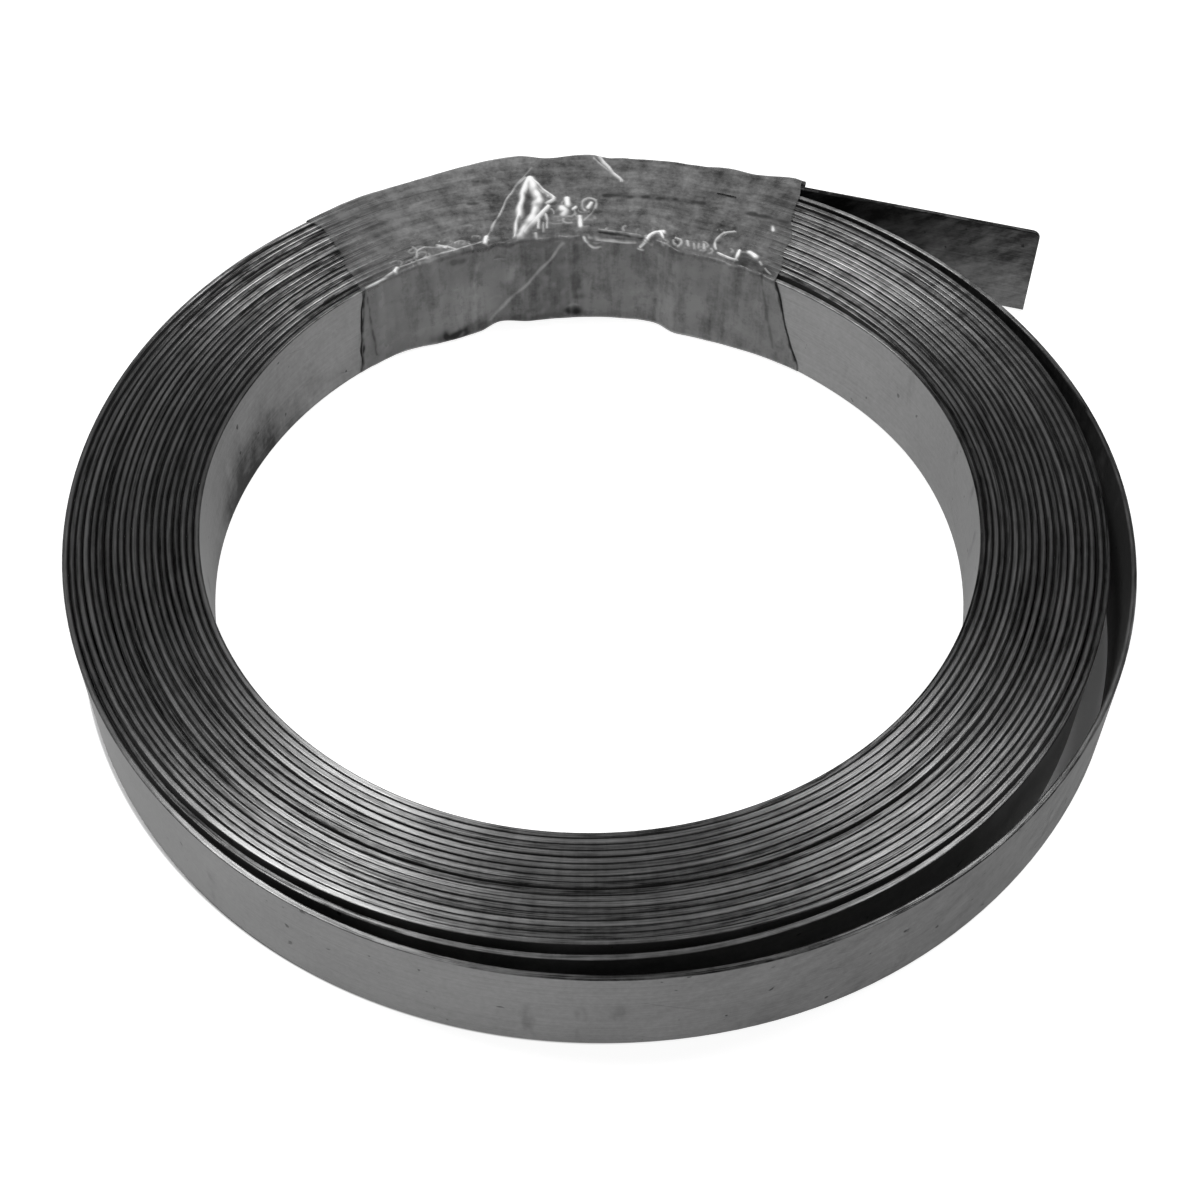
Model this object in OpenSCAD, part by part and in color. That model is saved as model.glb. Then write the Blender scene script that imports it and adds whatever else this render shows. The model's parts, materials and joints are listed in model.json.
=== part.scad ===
// Spot welding strip: a long, thin metal strip wound into a flat coil that lies
// on its side. Two outer turns have sprung loose, the free end sticks out
// straight, and a short wrap of clear film holds the coil together.
// +Z is up, along the bore, and the origin is on the bore's axis at the coil's
// lower face. Angles run counter-clockwise from +X, seen from above.

/* [Strip] */
// Width of the strip, which is the height of the coil
strip_w = 10; // [6:0.5:15]
// Thickness of the strip
strip_t = 0.5; // [0.4:0.05:0.8]
// Bevel along the strip's rolled edges
edge_bevel = 0.12; // [0.05:0.01:0.15]

/* [Coil] */
// Diameter of the bore
bore_d = 66.8; // [50:0.2:100]
// Number of turns, the two loose ones included
turns = 20; // [8:1:30]
// Slack between one turn and the next
turn_gap = 0.065; // [0.02:0.005:0.1]
// Depth of the grooves that part the tight turns on both faces
groove_depth = 0.35; // [0.2:0.05:1]

/* [Loose turns] */
// How far the outermost turn springs out at its widest point
loose_out = 1.9; // [0.6:0.05:4]
// Angle of that widest point
loose_angle = 325; // [290:5:345]
// How far the second turn springs out
second_out = 0.25; // [0.1:0.05:0.5]

/* [Free end] */
// Length of the straight free end, from where it leaves the coil
tail_len = 32.5; // [20:0.5:60]
// Angle at which the free end leaves the coil
tail_angle = 75; // [70:1:90]
// How far the free end stands off the coil there
tail_lift = 0.6; // [0.2:0.05:1.5]
// Radius of the free end's upper corner
tail_corner = 0.8; // [0.3:0.1:3]

/* [Film] */
// Thickness of the film wrap
film_t = 0.12; // [0.05:0.01:0.3]
// Angle at which the wrap starts
film_start = 62; // [55:1:68]
// Angle at which the wrap ends
film_end = 130; // [110:1:160]
// Clearance between the film and the strip
film_gap = 0.03; // [0.02:0.01:0.2]

/* [Hidden] */
$fn = 180;
pitch = strip_t + turn_gap;
// Angle between two points of the wound outline
STEP = 5;
// The turned core holds every turn from this one inwards
core_turn = 3;
// Angles where the outer turns lie tight on the coil
tight_a = 130;
tight_b = 190;
// Angle at which the outermost turn has come in to be the second one
step_in = 90;
// Angles at which the second turn is furthest off, tight again, and part of the core
second_angle = 270;
second_close = 340;
join_angle = 70;
// How far the joined end sinks into the core
sink = 0.15;

// Centreline radius of a turn, counted from the outside of the coil
function turn_r(n) = bore_d / 2 + strip_t / 2 + (turns - n) * pitch;

function polar(r, a) = [r * cos(a), r * sin(a)];

// Where the outer turns run: [angle along the strip, centreline radius]
ROUTE = [
    [tail_angle, turn_r(1) + tail_lift],
    [tight_a, turn_r(1)],
    [tight_b, turn_r(1)],
    [loose_angle, turn_r(1) + loose_out],
    [360 + step_in, turn_r(2)],
    [360 + tight_b, turn_r(2)],
    [360 + second_angle, turn_r(2) + second_out],
    [360 + second_close, turn_r(2)],
    [720 + join_angle, turn_r(3) - sink]
];
route_end = ROUTE[len(ROUTE) - 1][0];

// Radius of the route at angle a: it eases from each place to the next
function ease(from, to, u) = from + (to - from) * (1 - cos(180 * u)) / 2;
function route_r(a, i = 0) =
    a > ROUTE[i + 1][0] && i < len(ROUTE) - 2 ? route_r(a, i + 1)
    : ease(ROUTE[i][1], ROUTE[i + 1][1], (a - ROUTE[i][0]) / (ROUTE[i + 1][0] - ROUTE[i][0]));

// A point of the route, and of the straight free end before it, shifted outwards
function tail_point(along, shift) =
    polar(turn_r(1) + tail_lift + shift, tail_angle) + polar(along, tail_angle - 90);

// Cross-section of one tight turn, standing on the X axis
module turn_section() {
    x = strip_t / 2;
    e = edge_bevel;
    polygon([
        [e - x, 0], [x - e, 0], [x, e], [x, strip_w - e],
        [x - e, strip_w], [e - x, strip_w], [-x, strip_w - e], [-x, e]
    ]);
}

// Everything wound tight: each turn keeps its own edges, and the pack is solid
// between the grooves
module core()
    rotate_extrude() {
        for (n = [core_turn : turns]) translate([turn_r(n), 0]) turn_section();
        translate([turn_r(turns), groove_depth])
            square([turn_r(core_turn) - turn_r(turns), strip_w - 2 * groove_depth]);
    }

// Fills the slack between a tight outer turn and the next turn in
module packing(outer_turn, a, b)
    rotate(a) rotate_extrude(angle = b - a)
        translate([turn_r(outer_turn + 1), groove_depth])
            square([turn_r(outer_turn) - turn_r(outer_turn + 1), strip_w - 2 * groove_depth]);

// Plan of the free end and the outer turns
module ribbon_plan(t)
    polygon(concat(
        [tail_point(tail_len, -t / 2), tail_point(tail_len, t / 2)],
        [for (a = [tail_angle : STEP : route_end]) polar(route_r(a) + t / 2, a)],
        [for (a = [route_end : -STEP : tail_angle]) polar(route_r(a) - t / 2, a)]
    ));

module ribbon() linear_extrude(strip_w) ribbon_plan(strip_t);

// Rounds the free end's upper corner
module corner_cut()
    rotate(tail_angle) translate([turn_r(1) + tail_lift, -tail_len, strip_w])
        rotate([0, 90, 0]) difference() {
            translate([-1, -1, -strip_t]) cube([tail_corner + 1, tail_corner + 1, 2 * strip_t]);
            translate([tail_corner, tail_corner, -2 * strip_t])
                cylinder(r = tail_corner, h = 4 * strip_t, $fn = 48);
        }

module strip_coil() color([0.55, 0.55, 0.56]) {
    core();
    difference() {
        ribbon();
        corner_cut();
    }
    packing(2, step_in, tight_b - STEP / 2);
    packing(1, tight_a, tight_b);
}

// Outer radius of the wrapped strip at angle a: the free end, then the outer turn
function wrapped_r(a) =
    a < tail_angle ? (turn_r(1) + tail_lift + strip_t / 2) / cos(tail_angle - a)
    : route_r(a) + strip_t / 2;

// Plan of the wrapped stretch, grown by a margin and lengthened by an angle
module wrap_plan(margin, longer)
    polygon(concat(
        [for (a = [film_start - longer : 2 : film_end + longer]) polar(wrapped_r(a) + margin, a)],
        [for (a = [film_end + longer : -2 : film_start - longer]) polar(bore_d / 2 - margin, a)]
    ));

// A thin sleeve round the coil's section, open at both ends
module film_wrap() color([0.75, 0.78, 0.8, 0.4]) {
    skin = film_gap + film_t;
    difference() {
        translate([0, 0, -skin]) linear_extrude(strip_w + 2 * skin) wrap_plan(skin, 0);
        translate([0, 0, -film_gap]) linear_extrude(strip_w + 2 * film_gap) wrap_plan(film_gap, 2);
    }
}

strip_coil();
film_wrap();
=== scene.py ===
"""A coil of spot welding strip: bare rolled strip wound on itself, with its outer end standing
off as a straight tail, and a clear film wrap that holds the turns together at the back.

All sizes in the classes are in millimetres and angles in degrees, counted from +X towards +Y,
unless a name says otherwise. Meshes are made in metres.
"""

import json
import logging
import math
from collections.abc import Callable, Iterable, Mapping, Sequence
from dataclasses import dataclass, field
from enum import Enum
from typing import Any

import bpy
import numpy as np
from mathutils import Euler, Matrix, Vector


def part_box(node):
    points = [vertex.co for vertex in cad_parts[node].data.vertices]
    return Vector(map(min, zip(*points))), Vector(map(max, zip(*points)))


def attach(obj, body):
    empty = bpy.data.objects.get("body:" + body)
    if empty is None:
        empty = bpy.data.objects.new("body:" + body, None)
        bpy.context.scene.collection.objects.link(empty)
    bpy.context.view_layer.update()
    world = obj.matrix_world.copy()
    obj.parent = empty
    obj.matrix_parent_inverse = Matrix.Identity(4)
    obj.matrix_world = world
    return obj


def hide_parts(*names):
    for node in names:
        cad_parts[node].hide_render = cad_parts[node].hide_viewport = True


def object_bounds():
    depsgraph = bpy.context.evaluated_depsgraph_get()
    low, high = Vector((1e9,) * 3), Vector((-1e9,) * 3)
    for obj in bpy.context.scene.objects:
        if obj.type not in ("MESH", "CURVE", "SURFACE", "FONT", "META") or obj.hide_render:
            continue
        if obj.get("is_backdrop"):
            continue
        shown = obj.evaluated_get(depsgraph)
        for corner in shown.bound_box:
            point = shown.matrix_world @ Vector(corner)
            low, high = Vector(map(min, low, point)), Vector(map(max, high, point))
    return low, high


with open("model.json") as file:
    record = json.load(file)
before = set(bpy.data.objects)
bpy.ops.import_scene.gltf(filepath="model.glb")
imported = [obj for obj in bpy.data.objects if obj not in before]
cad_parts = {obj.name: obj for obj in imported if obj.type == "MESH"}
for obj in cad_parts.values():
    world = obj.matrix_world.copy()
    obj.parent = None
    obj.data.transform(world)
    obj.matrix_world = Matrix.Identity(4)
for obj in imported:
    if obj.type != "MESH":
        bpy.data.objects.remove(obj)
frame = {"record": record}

LOG = logging.getLogger("welding_strip")

MM = 0.001
TURN = 360.0
# The pack's middle radius, at which distances round the coil are counted.
MIDDLE_RADIUS = 39.0
# Names under which the meshes store coordinates and painted numbers for their materials.
STRIP_UV = "strip"
FILM_UV = "film"
RIM = "rim"
FLANK_SHADING = "crown"
DULL_AND_SHADED = "tarnish"
GRIME_AND_GAP_SHADE = "grime"
WHITENING_AND_GLINT = "crease"
SHADE = "shade"
VEIL = "veil"

Colour = tuple[float, float, float, float]
Knots = tuple[tuple[float, float], ...]


# ---------------------------------------------------------------- shader nodes


class NodeBench:
    """Adds the nodes of one material or world, and joins them."""

    def __init__(self, tree: bpy.types.NodeTree) -> None:
        """Empties the tree.

        Args:
            tree: The node tree of a material or world.
        """
        self.tree = tree
        tree.nodes.clear()

    def make(
        self,
        kind: str,
        settings: Mapping[str, Any] | None = None,
        sockets: Mapping[str | int, Any] | None = None,
    ) -> bpy.types.Node:
        """Adds one node of any type.

        Args:
            kind: The node's type, as Blender names it.
            settings: Its settings, such as a Math node's operation, which are set first.
            sockets: Values or links for its input sockets, by name or number.

        Returns:
            The new node.
        """
        node = self.tree.nodes.new(kind)
        for name, value in (settings or {}).items():
            setattr(node, name, value)
        for key, value in (sockets or {}).items():
            self.feed(node.inputs[key], value)
        return node

    def feed(self, socket: bpy.types.NodeSocket, value: Any) -> None:
        """Links a socket, or sets its value.

        Args:
            socket: The input socket.
            value: A Number, a Field, another node's socket, or a plain value.
        """
        if isinstance(value, (Number, Field)):
            value = value.socket
        if isinstance(value, bpy.types.NodeSocket):
            self.tree.links.new(value, socket)
        else:
            socket.default_value = value

    def number(
        self, kind: str, settings: Mapping[str, Any], sockets: Mapping[str | int, Any]
    ) -> "Number":
        """Adds a node and gives its first output as a number."""
        return Number(self, self.make(kind, settings, sockets).outputs[0])

    def field(
        self,
        kind: str,
        settings: Mapping[str, Any],
        sockets: Mapping[str | int, Any],
        output: str | int = 0,
    ) -> "Field":
        """Adds a node and gives one of its outputs as a vector or colour."""
        return Field(self, self.make(kind, settings, sockets).outputs[output])

    def painted(self, name: str) -> "Number":
        """The number that a mesh stores under a name."""
        return Number(self, self.make("ShaderNodeAttribute", {"attribute_name": name}).outputs["Fac"])

    def place(self) -> "Field":
        """The place of a point of the object, in millimetres."""
        return self.field("ShaderNodeTexCoord", {}, {}, "Object").stretched(1 / MM, 1 / MM, 1 / MM)

    def laid(self, name: str) -> "Field":
        """The coordinates that a mesh stores under a name, in millimetres."""
        return self.field("ShaderNodeUVMap", {"uv_map": name}, {}).stretched(1 / MM, 1 / MM)

    def seen_directly(self) -> "Number":
        """Tells diffuse rays from those that leave the camera or a glossy or clear surface.

        Returns:
            0 for diffuse rays and 1 for the others.
        """
        path = self.make("ShaderNodeLightPath")
        kinds = ("Camera", "Glossy", "Transmission")
        camera, glossy, clear = (Number(self, path.outputs[f"Is {kind} Ray"]) for kind in kinds)
        return (camera + glossy + clear).rise(0.0, 1.0)

    def blend(
        self,
        factor: "Number | float",
        first: "Field | Colour",
        second: "Field | Colour",
    ) -> "Field":
        """Mixes two colours.

        Args:
            factor: How much of the second colour shows, from 0 to 1.
            first: The colour underneath.
            second: The colour on top.

        Returns:
            The mixed colour.
        """
        settings = {"data_type": "RGBA", "clamp_factor": True}
        return self.field("ShaderNodeMix", settings, {0: factor, 6: first, 7: second}, 2)

    def noise(self, place: "Field", scale: float, detail: float = 2.0, rough: float = 0.5) -> "Number":
        """Soft noise from about 0 to 1.

        Args:
            place: The coordinates to read it at.
            scale: Waves in one unit of the coordinates.
            detail: How many finer layers are added.
            rough: How strong the finer layers are.

        Returns:
            The noise, with a middle near 0.5.
        """
        sockets = {"Vector": place, "Scale": scale, "Detail": detail, "Roughness": rough}
        return self.number("ShaderNodeTexNoise", {"noise_dimensions": "3D"}, sockets)

    def polar(self, place: "Field") -> "Field":
        """Coordinates that follow the coil.

        Args:
            place: Where a point is.

        Returns:
            Its distance round the Z axis at the middle radius, its radius and its height.
        """
        x, y = place.part(0), place.part(1)
        angle = self.number("ShaderNodeMath", {"operation": "ARCTAN2"}, {0: y, 1: x})
        sockets = {0: angle * MIDDLE_RADIUS, 1: (x * x + y * y) ** 0.5, 2: place.part(2)}
        return self.field("ShaderNodeCombineXYZ", {}, sockets)

    def bump(self, height: "Number", strength: float, distance: float) -> bpy.types.NodeSocket:
        """A Bump node that feeds a Normal socket.

        Args:
            height: The height over the surface, about 0 to 1.
            strength: How much of it shows.
            distance: The height of 1, in metres.

        Returns:
            The node's normal.
        """
        sockets = {"Strength": strength, "Distance": distance, "Height": height}
        return self.make("ShaderNodeBump", {}, sockets).outputs[0]


@dataclass(frozen=True)
class Number:
    """A number that leaves a node, and takes part in ordinary sums."""

    bench: NodeBench
    socket: bpy.types.NodeSocket

    def _math(self, operation: str, *values: Any) -> "Number":
        """Adds a Math node for the values, in their order."""
        return self.bench.number("ShaderNodeMath", {"operation": operation}, dict(enumerate(values)))

    def __add__(self, other: "Number | float") -> "Number":
        """The sum."""
        return self._math("ADD", self, other)

    __radd__ = __add__

    def __sub__(self, other: "Number | float") -> "Number":
        """The difference."""
        return self._math("SUBTRACT", self, other)

    def __rsub__(self, other: "Number | float") -> "Number":
        """The difference, from a plain number."""
        return self._math("SUBTRACT", other, self)

    def __mul__(self, other: "Number | float") -> "Number":
        """The product."""
        return self._math("MULTIPLY", self, other)

    __rmul__ = __mul__

    def __pow__(self, other: "Number | float") -> "Number":
        """The power."""
        return self._math("POWER", self, other)

    def rise(self, low: float, high: float) -> "Number":
        """0 below low, 1 above high, and a smooth step between. High may be the lower of the two.

        Args:
            low: Where the result is 0.
            high: Where the result is 1.

        Returns:
            The step.
        """
        sockets = {"Value": self, "From Min": low, "From Max": high}
        return self.bench.number("ShaderNodeMapRange", {"interpolation_type": "SMOOTHSTEP"}, sockets)

    def swing(self, size: "Number | float") -> "Number":
        """The number's swing to both sides of 0.5, made larger or smaller."""
        return (self - 0.5) * size


@dataclass(frozen=True)
class Field:
    """A vector or colour that leaves a node."""

    bench: NodeBench
    socket: bpy.types.NodeSocket

    def stretched(self, x: float, y: float, z: float = 1.0) -> "Field":
        """The vector with each of its numbers scaled."""
        sockets = {0: self, 1: (x, y, z)}
        return self.bench.field("ShaderNodeVectorMath", {"operation": "MULTIPLY"}, sockets)

    def turned(self, degrees: float) -> "Field":
        """The vector turned in its own first two directions."""
        sockets = {"Vector": self, "Angle": math.radians(degrees)}
        return self.bench.field("ShaderNodeVectorRotate", {"rotation_type": "Z_AXIS"}, sockets)

    def part(self, index: int) -> "Number":
        """One of its three numbers."""
        node = self.bench.make("ShaderNodeSeparateXYZ", {}, {0: self})
        return Number(self.bench, node.outputs[index])


def grey(level: float) -> Colour:
    """A neutral colour of that linear level."""
    return (level, level, level, 1.0)


def make_material(
    name: str, surface: Callable[[NodeBench], bpy.types.Node]
) -> bpy.types.Material:
    """Makes a material.

    Args:
        name: Its name.
        surface: Adds the nodes of its surface and gives back the last of them.

    Returns:
        The material.
    """
    material = bpy.data.materials.new(name)
    material.use_nodes = True
    bench = NodeBench(material.node_tree)
    bench.make("ShaderNodeOutputMaterial", {}, {"Surface": surface(bench).outputs[0]})
    return material


# ---------------------------------------------------------------- curves and unevenness


@dataclass(frozen=True)
class Ripple:
    """Smooth unevenness that is the same each run: waves of many lengths and headings."""

    seed: int
    shortest: float
    longest: float
    waves: int = 30

    def at(self, x: np.ndarray, y: np.ndarray | None = None) -> np.ndarray:
        """Its height at some places.

        Args:
            x: The places' first coordinate.
            y: Their second, in the same unit. Without it every wave runs along the first.

        Returns:
            Heights about 0, most of them from -1.5 to 1.5.
        """
        draw = np.random.default_rng(self.seed)
        full = 2.0 * math.pi
        lengths = np.exp(draw.uniform(math.log(self.shortest), math.log(self.longest), self.waves))
        headings = np.zeros(self.waves) if y is None else draw.uniform(0.0, full, self.waves)
        starts = draw.uniform(0.0, full, self.waves)
        y = np.zeros(x.shape) if y is None else y
        total = np.zeros(x.shape)
        for length, heading, start in zip(lengths, headings, starts):
            way = x * math.cos(heading) + y * math.sin(heading)
            total += np.cos(full * way / length + start)
        return total / math.sqrt(self.waves / 2.0)


def step(x: np.ndarray, low: float, high: float) -> np.ndarray:
    """A smooth step from 0 at low to 1 at high."""
    u = np.clip((x - low) / (high - low), 0.0, 1.0)
    return u * u * (3.0 - 2.0 * u)


def through(knots: Knots, x: np.ndarray) -> np.ndarray:
    """A smooth curve through knots, level beyond its ends.

    Args:
        knots: Pairs of place and value, in order.
        x: The places to read.

    Returns:
        The curve's values, which never leave the range of the two knots beside them by much.
    """
    places = np.array([k[0] for k in knots])
    values = np.array([k[1] for k in knots])
    gaps = np.diff(places)
    rates = np.diff(values) / gaps
    slopes = np.zeros(len(knots))
    same_way = rates[:-1] * rates[1:] > 0.0
    spread = gaps[:-1] + gaps[1:]
    mean = (rates[:-1] * gaps[1:] + rates[1:] * gaps[:-1]) / spread
    slopes[1:-1] = np.where(same_way, mean, 0.0)
    inside = np.clip(x, places[0], places[-1])
    i = np.clip(np.searchsorted(places, inside, side="right") - 1, 0, len(gaps) - 1)
    u = (inside - places[i]) / gaps[i]
    held = (1.0 + 2.0 * u) * (1.0 - u) ** 2 * values[i] + u * u * (3.0 - 2.0 * u) * values[i + 1]
    return held + gaps[i] * (u * (1.0 - u) ** 2 * slopes[i] - u * u * (1.0 - u) * slopes[i + 1])


def polar(radius: np.ndarray, degrees: np.ndarray) -> np.ndarray:
    """Points at a radius and angle about the bore's axis, one row each."""
    angle = np.radians(degrees)
    return np.stack([radius * np.cos(angle), radius * np.sin(angle)], axis=-1)


def make_piece(
    name: str,
    points: np.ndarray,
    faces: Sequence[Sequence[int]],
    finish: bpy.types.Material,
) -> bpy.types.Object:
    """Makes a smooth-shaded mesh object.

    Args:
        name: The piece's name.
        points: Its points in millimetres, one row each.
        faces: The point numbers of each face.
        finish: Its material.

    Returns:
        The object, linked to the scene.
    """
    mesh = bpy.data.meshes.new(name)
    mesh.from_pydata((points * MM).tolist(), [], faces)
    mesh.polygons.foreach_set("use_smooth", [True] * len(mesh.polygons))
    mesh.materials.append(finish)
    mesh.update()
    piece = bpy.data.objects.new(name, mesh)
    bpy.context.scene.collection.objects.link(piece)
    return piece


def paint(piece: bpy.types.Object, name: str, values: np.ndarray) -> None:
    """Stores one number for each point of a mesh, for its material to read."""
    layer = piece.data.attributes.new(name, "FLOAT", "POINT")
    layer.data.foreach_set("value", values.astype(np.float32))


def lay_map(piece: bpy.types.Object, name: str, corners: np.ndarray) -> None:
    """Stores two coordinates in millimetres for each corner of a mesh's faces."""
    layer = piece.data.uv_layers.new(name=name)
    layer.data.foreach_set("uv", (corners * MM).astype(np.float32).ravel())


def skin(rings: int, points: int, flipped: bool = False) -> list[list[int]]:
    """The four-sided faces between neighbouring rings of points.

    Args:
        rings: How many rings there are.
        points: How many points each has.
        flipped: Whether the points of a ring run the other way round.

    Returns:
        The point numbers of each face, facing outward.
    """
    ring = np.arange(rings - 1)[:, None] * points
    here, after = np.arange(points), (np.arange(points) + 1) % points
    corners = [ring + here, ring + points + here, ring + points + after, ring + after]
    if flipped:
        corners = [corners[0], *corners[:0:-1]]
    return np.stack(corners, axis=2).reshape(-1, 4).tolist()


# ---------------------------------------------------------------- the wound strip


@dataclass(frozen=True)
class StripFinish:
    """Satin rolled strip: lengthwise roll lines, dull stains, specks and scratches on its broad
    faces, and slit edges that are burnished in fine lines along the strip. Painted shade darkens the
    edges' flanks, the tail, the loose turns and the sprung turn's gap, and a painted highlight
    brightens the edges at the left of the film.
    """

    dark: float = 0.035
    light: float = 0.425
    edge_dark: float = 0.02
    edge_light: float = 0.64
    # How rough the metal is, and how much rougher stains and smudges and the edges' dashes make it.
    roughness: float = 0.38
    stain_roughness: float = 0.14
    smudge_roughness: float = 0.10
    dash_roughness: float = 0.16
    # How much the gloss is spread across the roll lines, and how much of it is left at grazing.
    spread_across: float = 0.85
    grazing: float = 0.6
    # How far each mark makes the broad faces lighter or darker.
    stain: float = 0.26
    roll_line: float = 0.20
    grain: float = 0.20
    fine_line: float = 0.10
    # The dullness mark carries painted shade and light too.
    tarnish: float = 0.36
    smudge: float = 0.06
    # The dirt mark carries painted shade in the sprung turn's gap too.
    dirt_and_shade: float = 0.50
    speck: float = 0.30
    scratch: float = 0.10
    # How far each mark makes the slit edges lighter or darker.
    edge_line: float = 0.70
    turn: float = 0.75
    fleck: float = 1.1
    dash: float = 0.95
    blotch: float = 0.60
    # The edges' dullness mark carries painted shade and light too.
    edge_dull_and_shaded: float = 0.30
    # Painted highlight: how much brighter and more uneven the edges are at the left of the film.
    left_painted_highlight: float = 0.16
    left_highlight_streaks: float = 1.5

    def build(self) -> bpy.types.Material:
        """The material, which reads the strip's own coordinates and its painted numbers."""
        return make_material("rolled_strip", self.surface)

    def surface(self, bench: NodeBench) -> bpy.types.Node:
        """Adds the nodes of the surface.

        Args:
            bench: Where they go.

        Returns:
            The shader.
        """
        strip, place = bench.laid(STRIP_UV), bench.place()
        rim, crown, tarnish, grime = (bench.painted(name) for name in (RIM, FLANK_SHADING, DULL_AND_SHADED, GRIME_AND_GAP_SHADE))

        # The broad faces.
        roll_lines = bench.noise(strip.stretched(0.02, 5.0), 1.0, 3.0, 0.6)
        fine_lines = bench.noise(strip.stretched(0.25, 22.0), 1.0, 2.0, 0.6)
        stains = bench.noise(place, 0.16, 4.0, 0.55)
        grain = bench.noise(place, 2.2, 3.0, 0.6)
        rubbed = bench.noise(strip.turned(-32.0).stretched(0.26, 0.7), 1.0, 4.0, 0.62)
        smudges = bench.noise(strip.stretched(0.35, 0.10), 1.0, 3.0, 0.6).rise(0.60, 0.74)
        drips = bench.noise(strip.stretched(0.55, 0.16), 1.0, 3.0, 0.6)
        blotches = bench.noise(place, 0.40, 3.0, 0.6)
        dirt_and_shade = (grime + drips.swing(1.0) + blotches.swing(1.0)).rise(0.20, 1.75)
        specks = bench.noise(place, 1.15, 1.0, 0.4).rise(0.745, 0.80)
        scratches = bench.noise(strip.turned(24.0).stretched(0.11, 3.4), 1.0, 1.0).rise(0.735, 0.77)
        tone = 0.50 + stains.swing(self.stain) + roll_lines.swing(self.roll_line)
        tone = tone + grain.swing(self.grain) + fine_lines.swing(self.fine_line)
        # Dullness with painted shade on the tail and the loose turns, and painted light where it is
        # below 0.
        tone = tone + tarnish * (tarnish * (rubbed - 0.5) - self.tarnish)
        # Dirt, and painted shade in the sprung turn's gap.
        tone = tone - self.smudge * smudges - self.dirt_and_shade * dirt_and_shade
        tone = tone - self.speck * specks - self.scratch * scratches

        # The slit edges.
        lines = bench.noise(strip.stretched(0.13, 6.5), 1.0, 2.0, 0.6).rise(0.25, 0.75)
        turn_tone = bench.noise(strip.stretched(0.012, 0.0), 1.0, 2.0).rise(0.28, 0.72)
        flecks = bench.noise(strip.stretched(0.40, 1.8), 1.0, 4.0, 0.65)
        dashes = bench.noise(bench.polar(place).stretched(1.5, 0.28), 1.0, 3.0, 0.6)
        x, y = place.part(0), place.part(1)
        handled = y.rise(10.0, 30.0) + 0.3 * y.rise(-18.0, -36.0)
        worn = handled * (dashes.swing(self.dash) + blotches.swing(self.blotch))
        # Painted highlight: the edges are brighter and more streaked at the left of the film.
        left = x.rise(-20.0, -25.0) * y.rise(20.0, 27.0)
        streaks = lines.swing(self.edge_line) + turn_tone.swing(self.turn) + flecks.swing(self.fleck)
        edge_tone = 0.50 + self.left_painted_highlight * left + streaks * (1.0 + self.left_highlight_streaks * left)
        # Painted shade on the edges' flanks, and the dullness with its painted shade and light.
        edge_tone = (edge_tone + worn - self.edge_dull_and_shaded * tarnish) * crown * crown

        flat = bench.blend(tone, grey(self.dark), grey(self.light))
        edge = bench.blend(edge_tone * 0.5, grey(self.edge_dark), grey(self.edge_light))
        flat_roughness = self.roughness + stains.swing(self.stain_roughness)
        flat_roughness = flat_roughness + self.smudge_roughness * smudges
        edge_roughness = self.roughness + dashes.swing(self.dash_roughness)
        flat_height = fine_lines * 0.5 + grain * 0.3 - specks * 1.5 - scratches * 0.6
        height = flat_height * (1.0 - rim) + lines * rim * 0.5
        return bench.make(
            "ShaderNodeBsdfPrincipled",
            {},
            {
                "Base Color": bench.blend(rim, flat, edge),
                "Metallic": 1.0,
                "Roughness": flat_roughness * (1.0 - rim) + edge_roughness * rim,
                "Specular Tint": grey(self.grazing),
                "Anisotropic": self.spread_across,
                "Anisotropic Rotation": 0.25,
                "Normal": bench.bump(height, 0.3, 0.02 * MM),
            },
        )


@dataclass(frozen=True)
class Section:
    """The points round the strip's rounded section, from its outer face up and over."""

    # The face that each is nearer to: 1 outer, -1 inner.
    side: np.ndarray
    # How far it stands from that face and from the nearer edge, for each millimetre of rounding.
    off: np.ndarray
    # Which way the surface faces there: outward, and up.
    facing: np.ndarray
    # Whether it belongs to the upper edge.
    upper: np.ndarray


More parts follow.
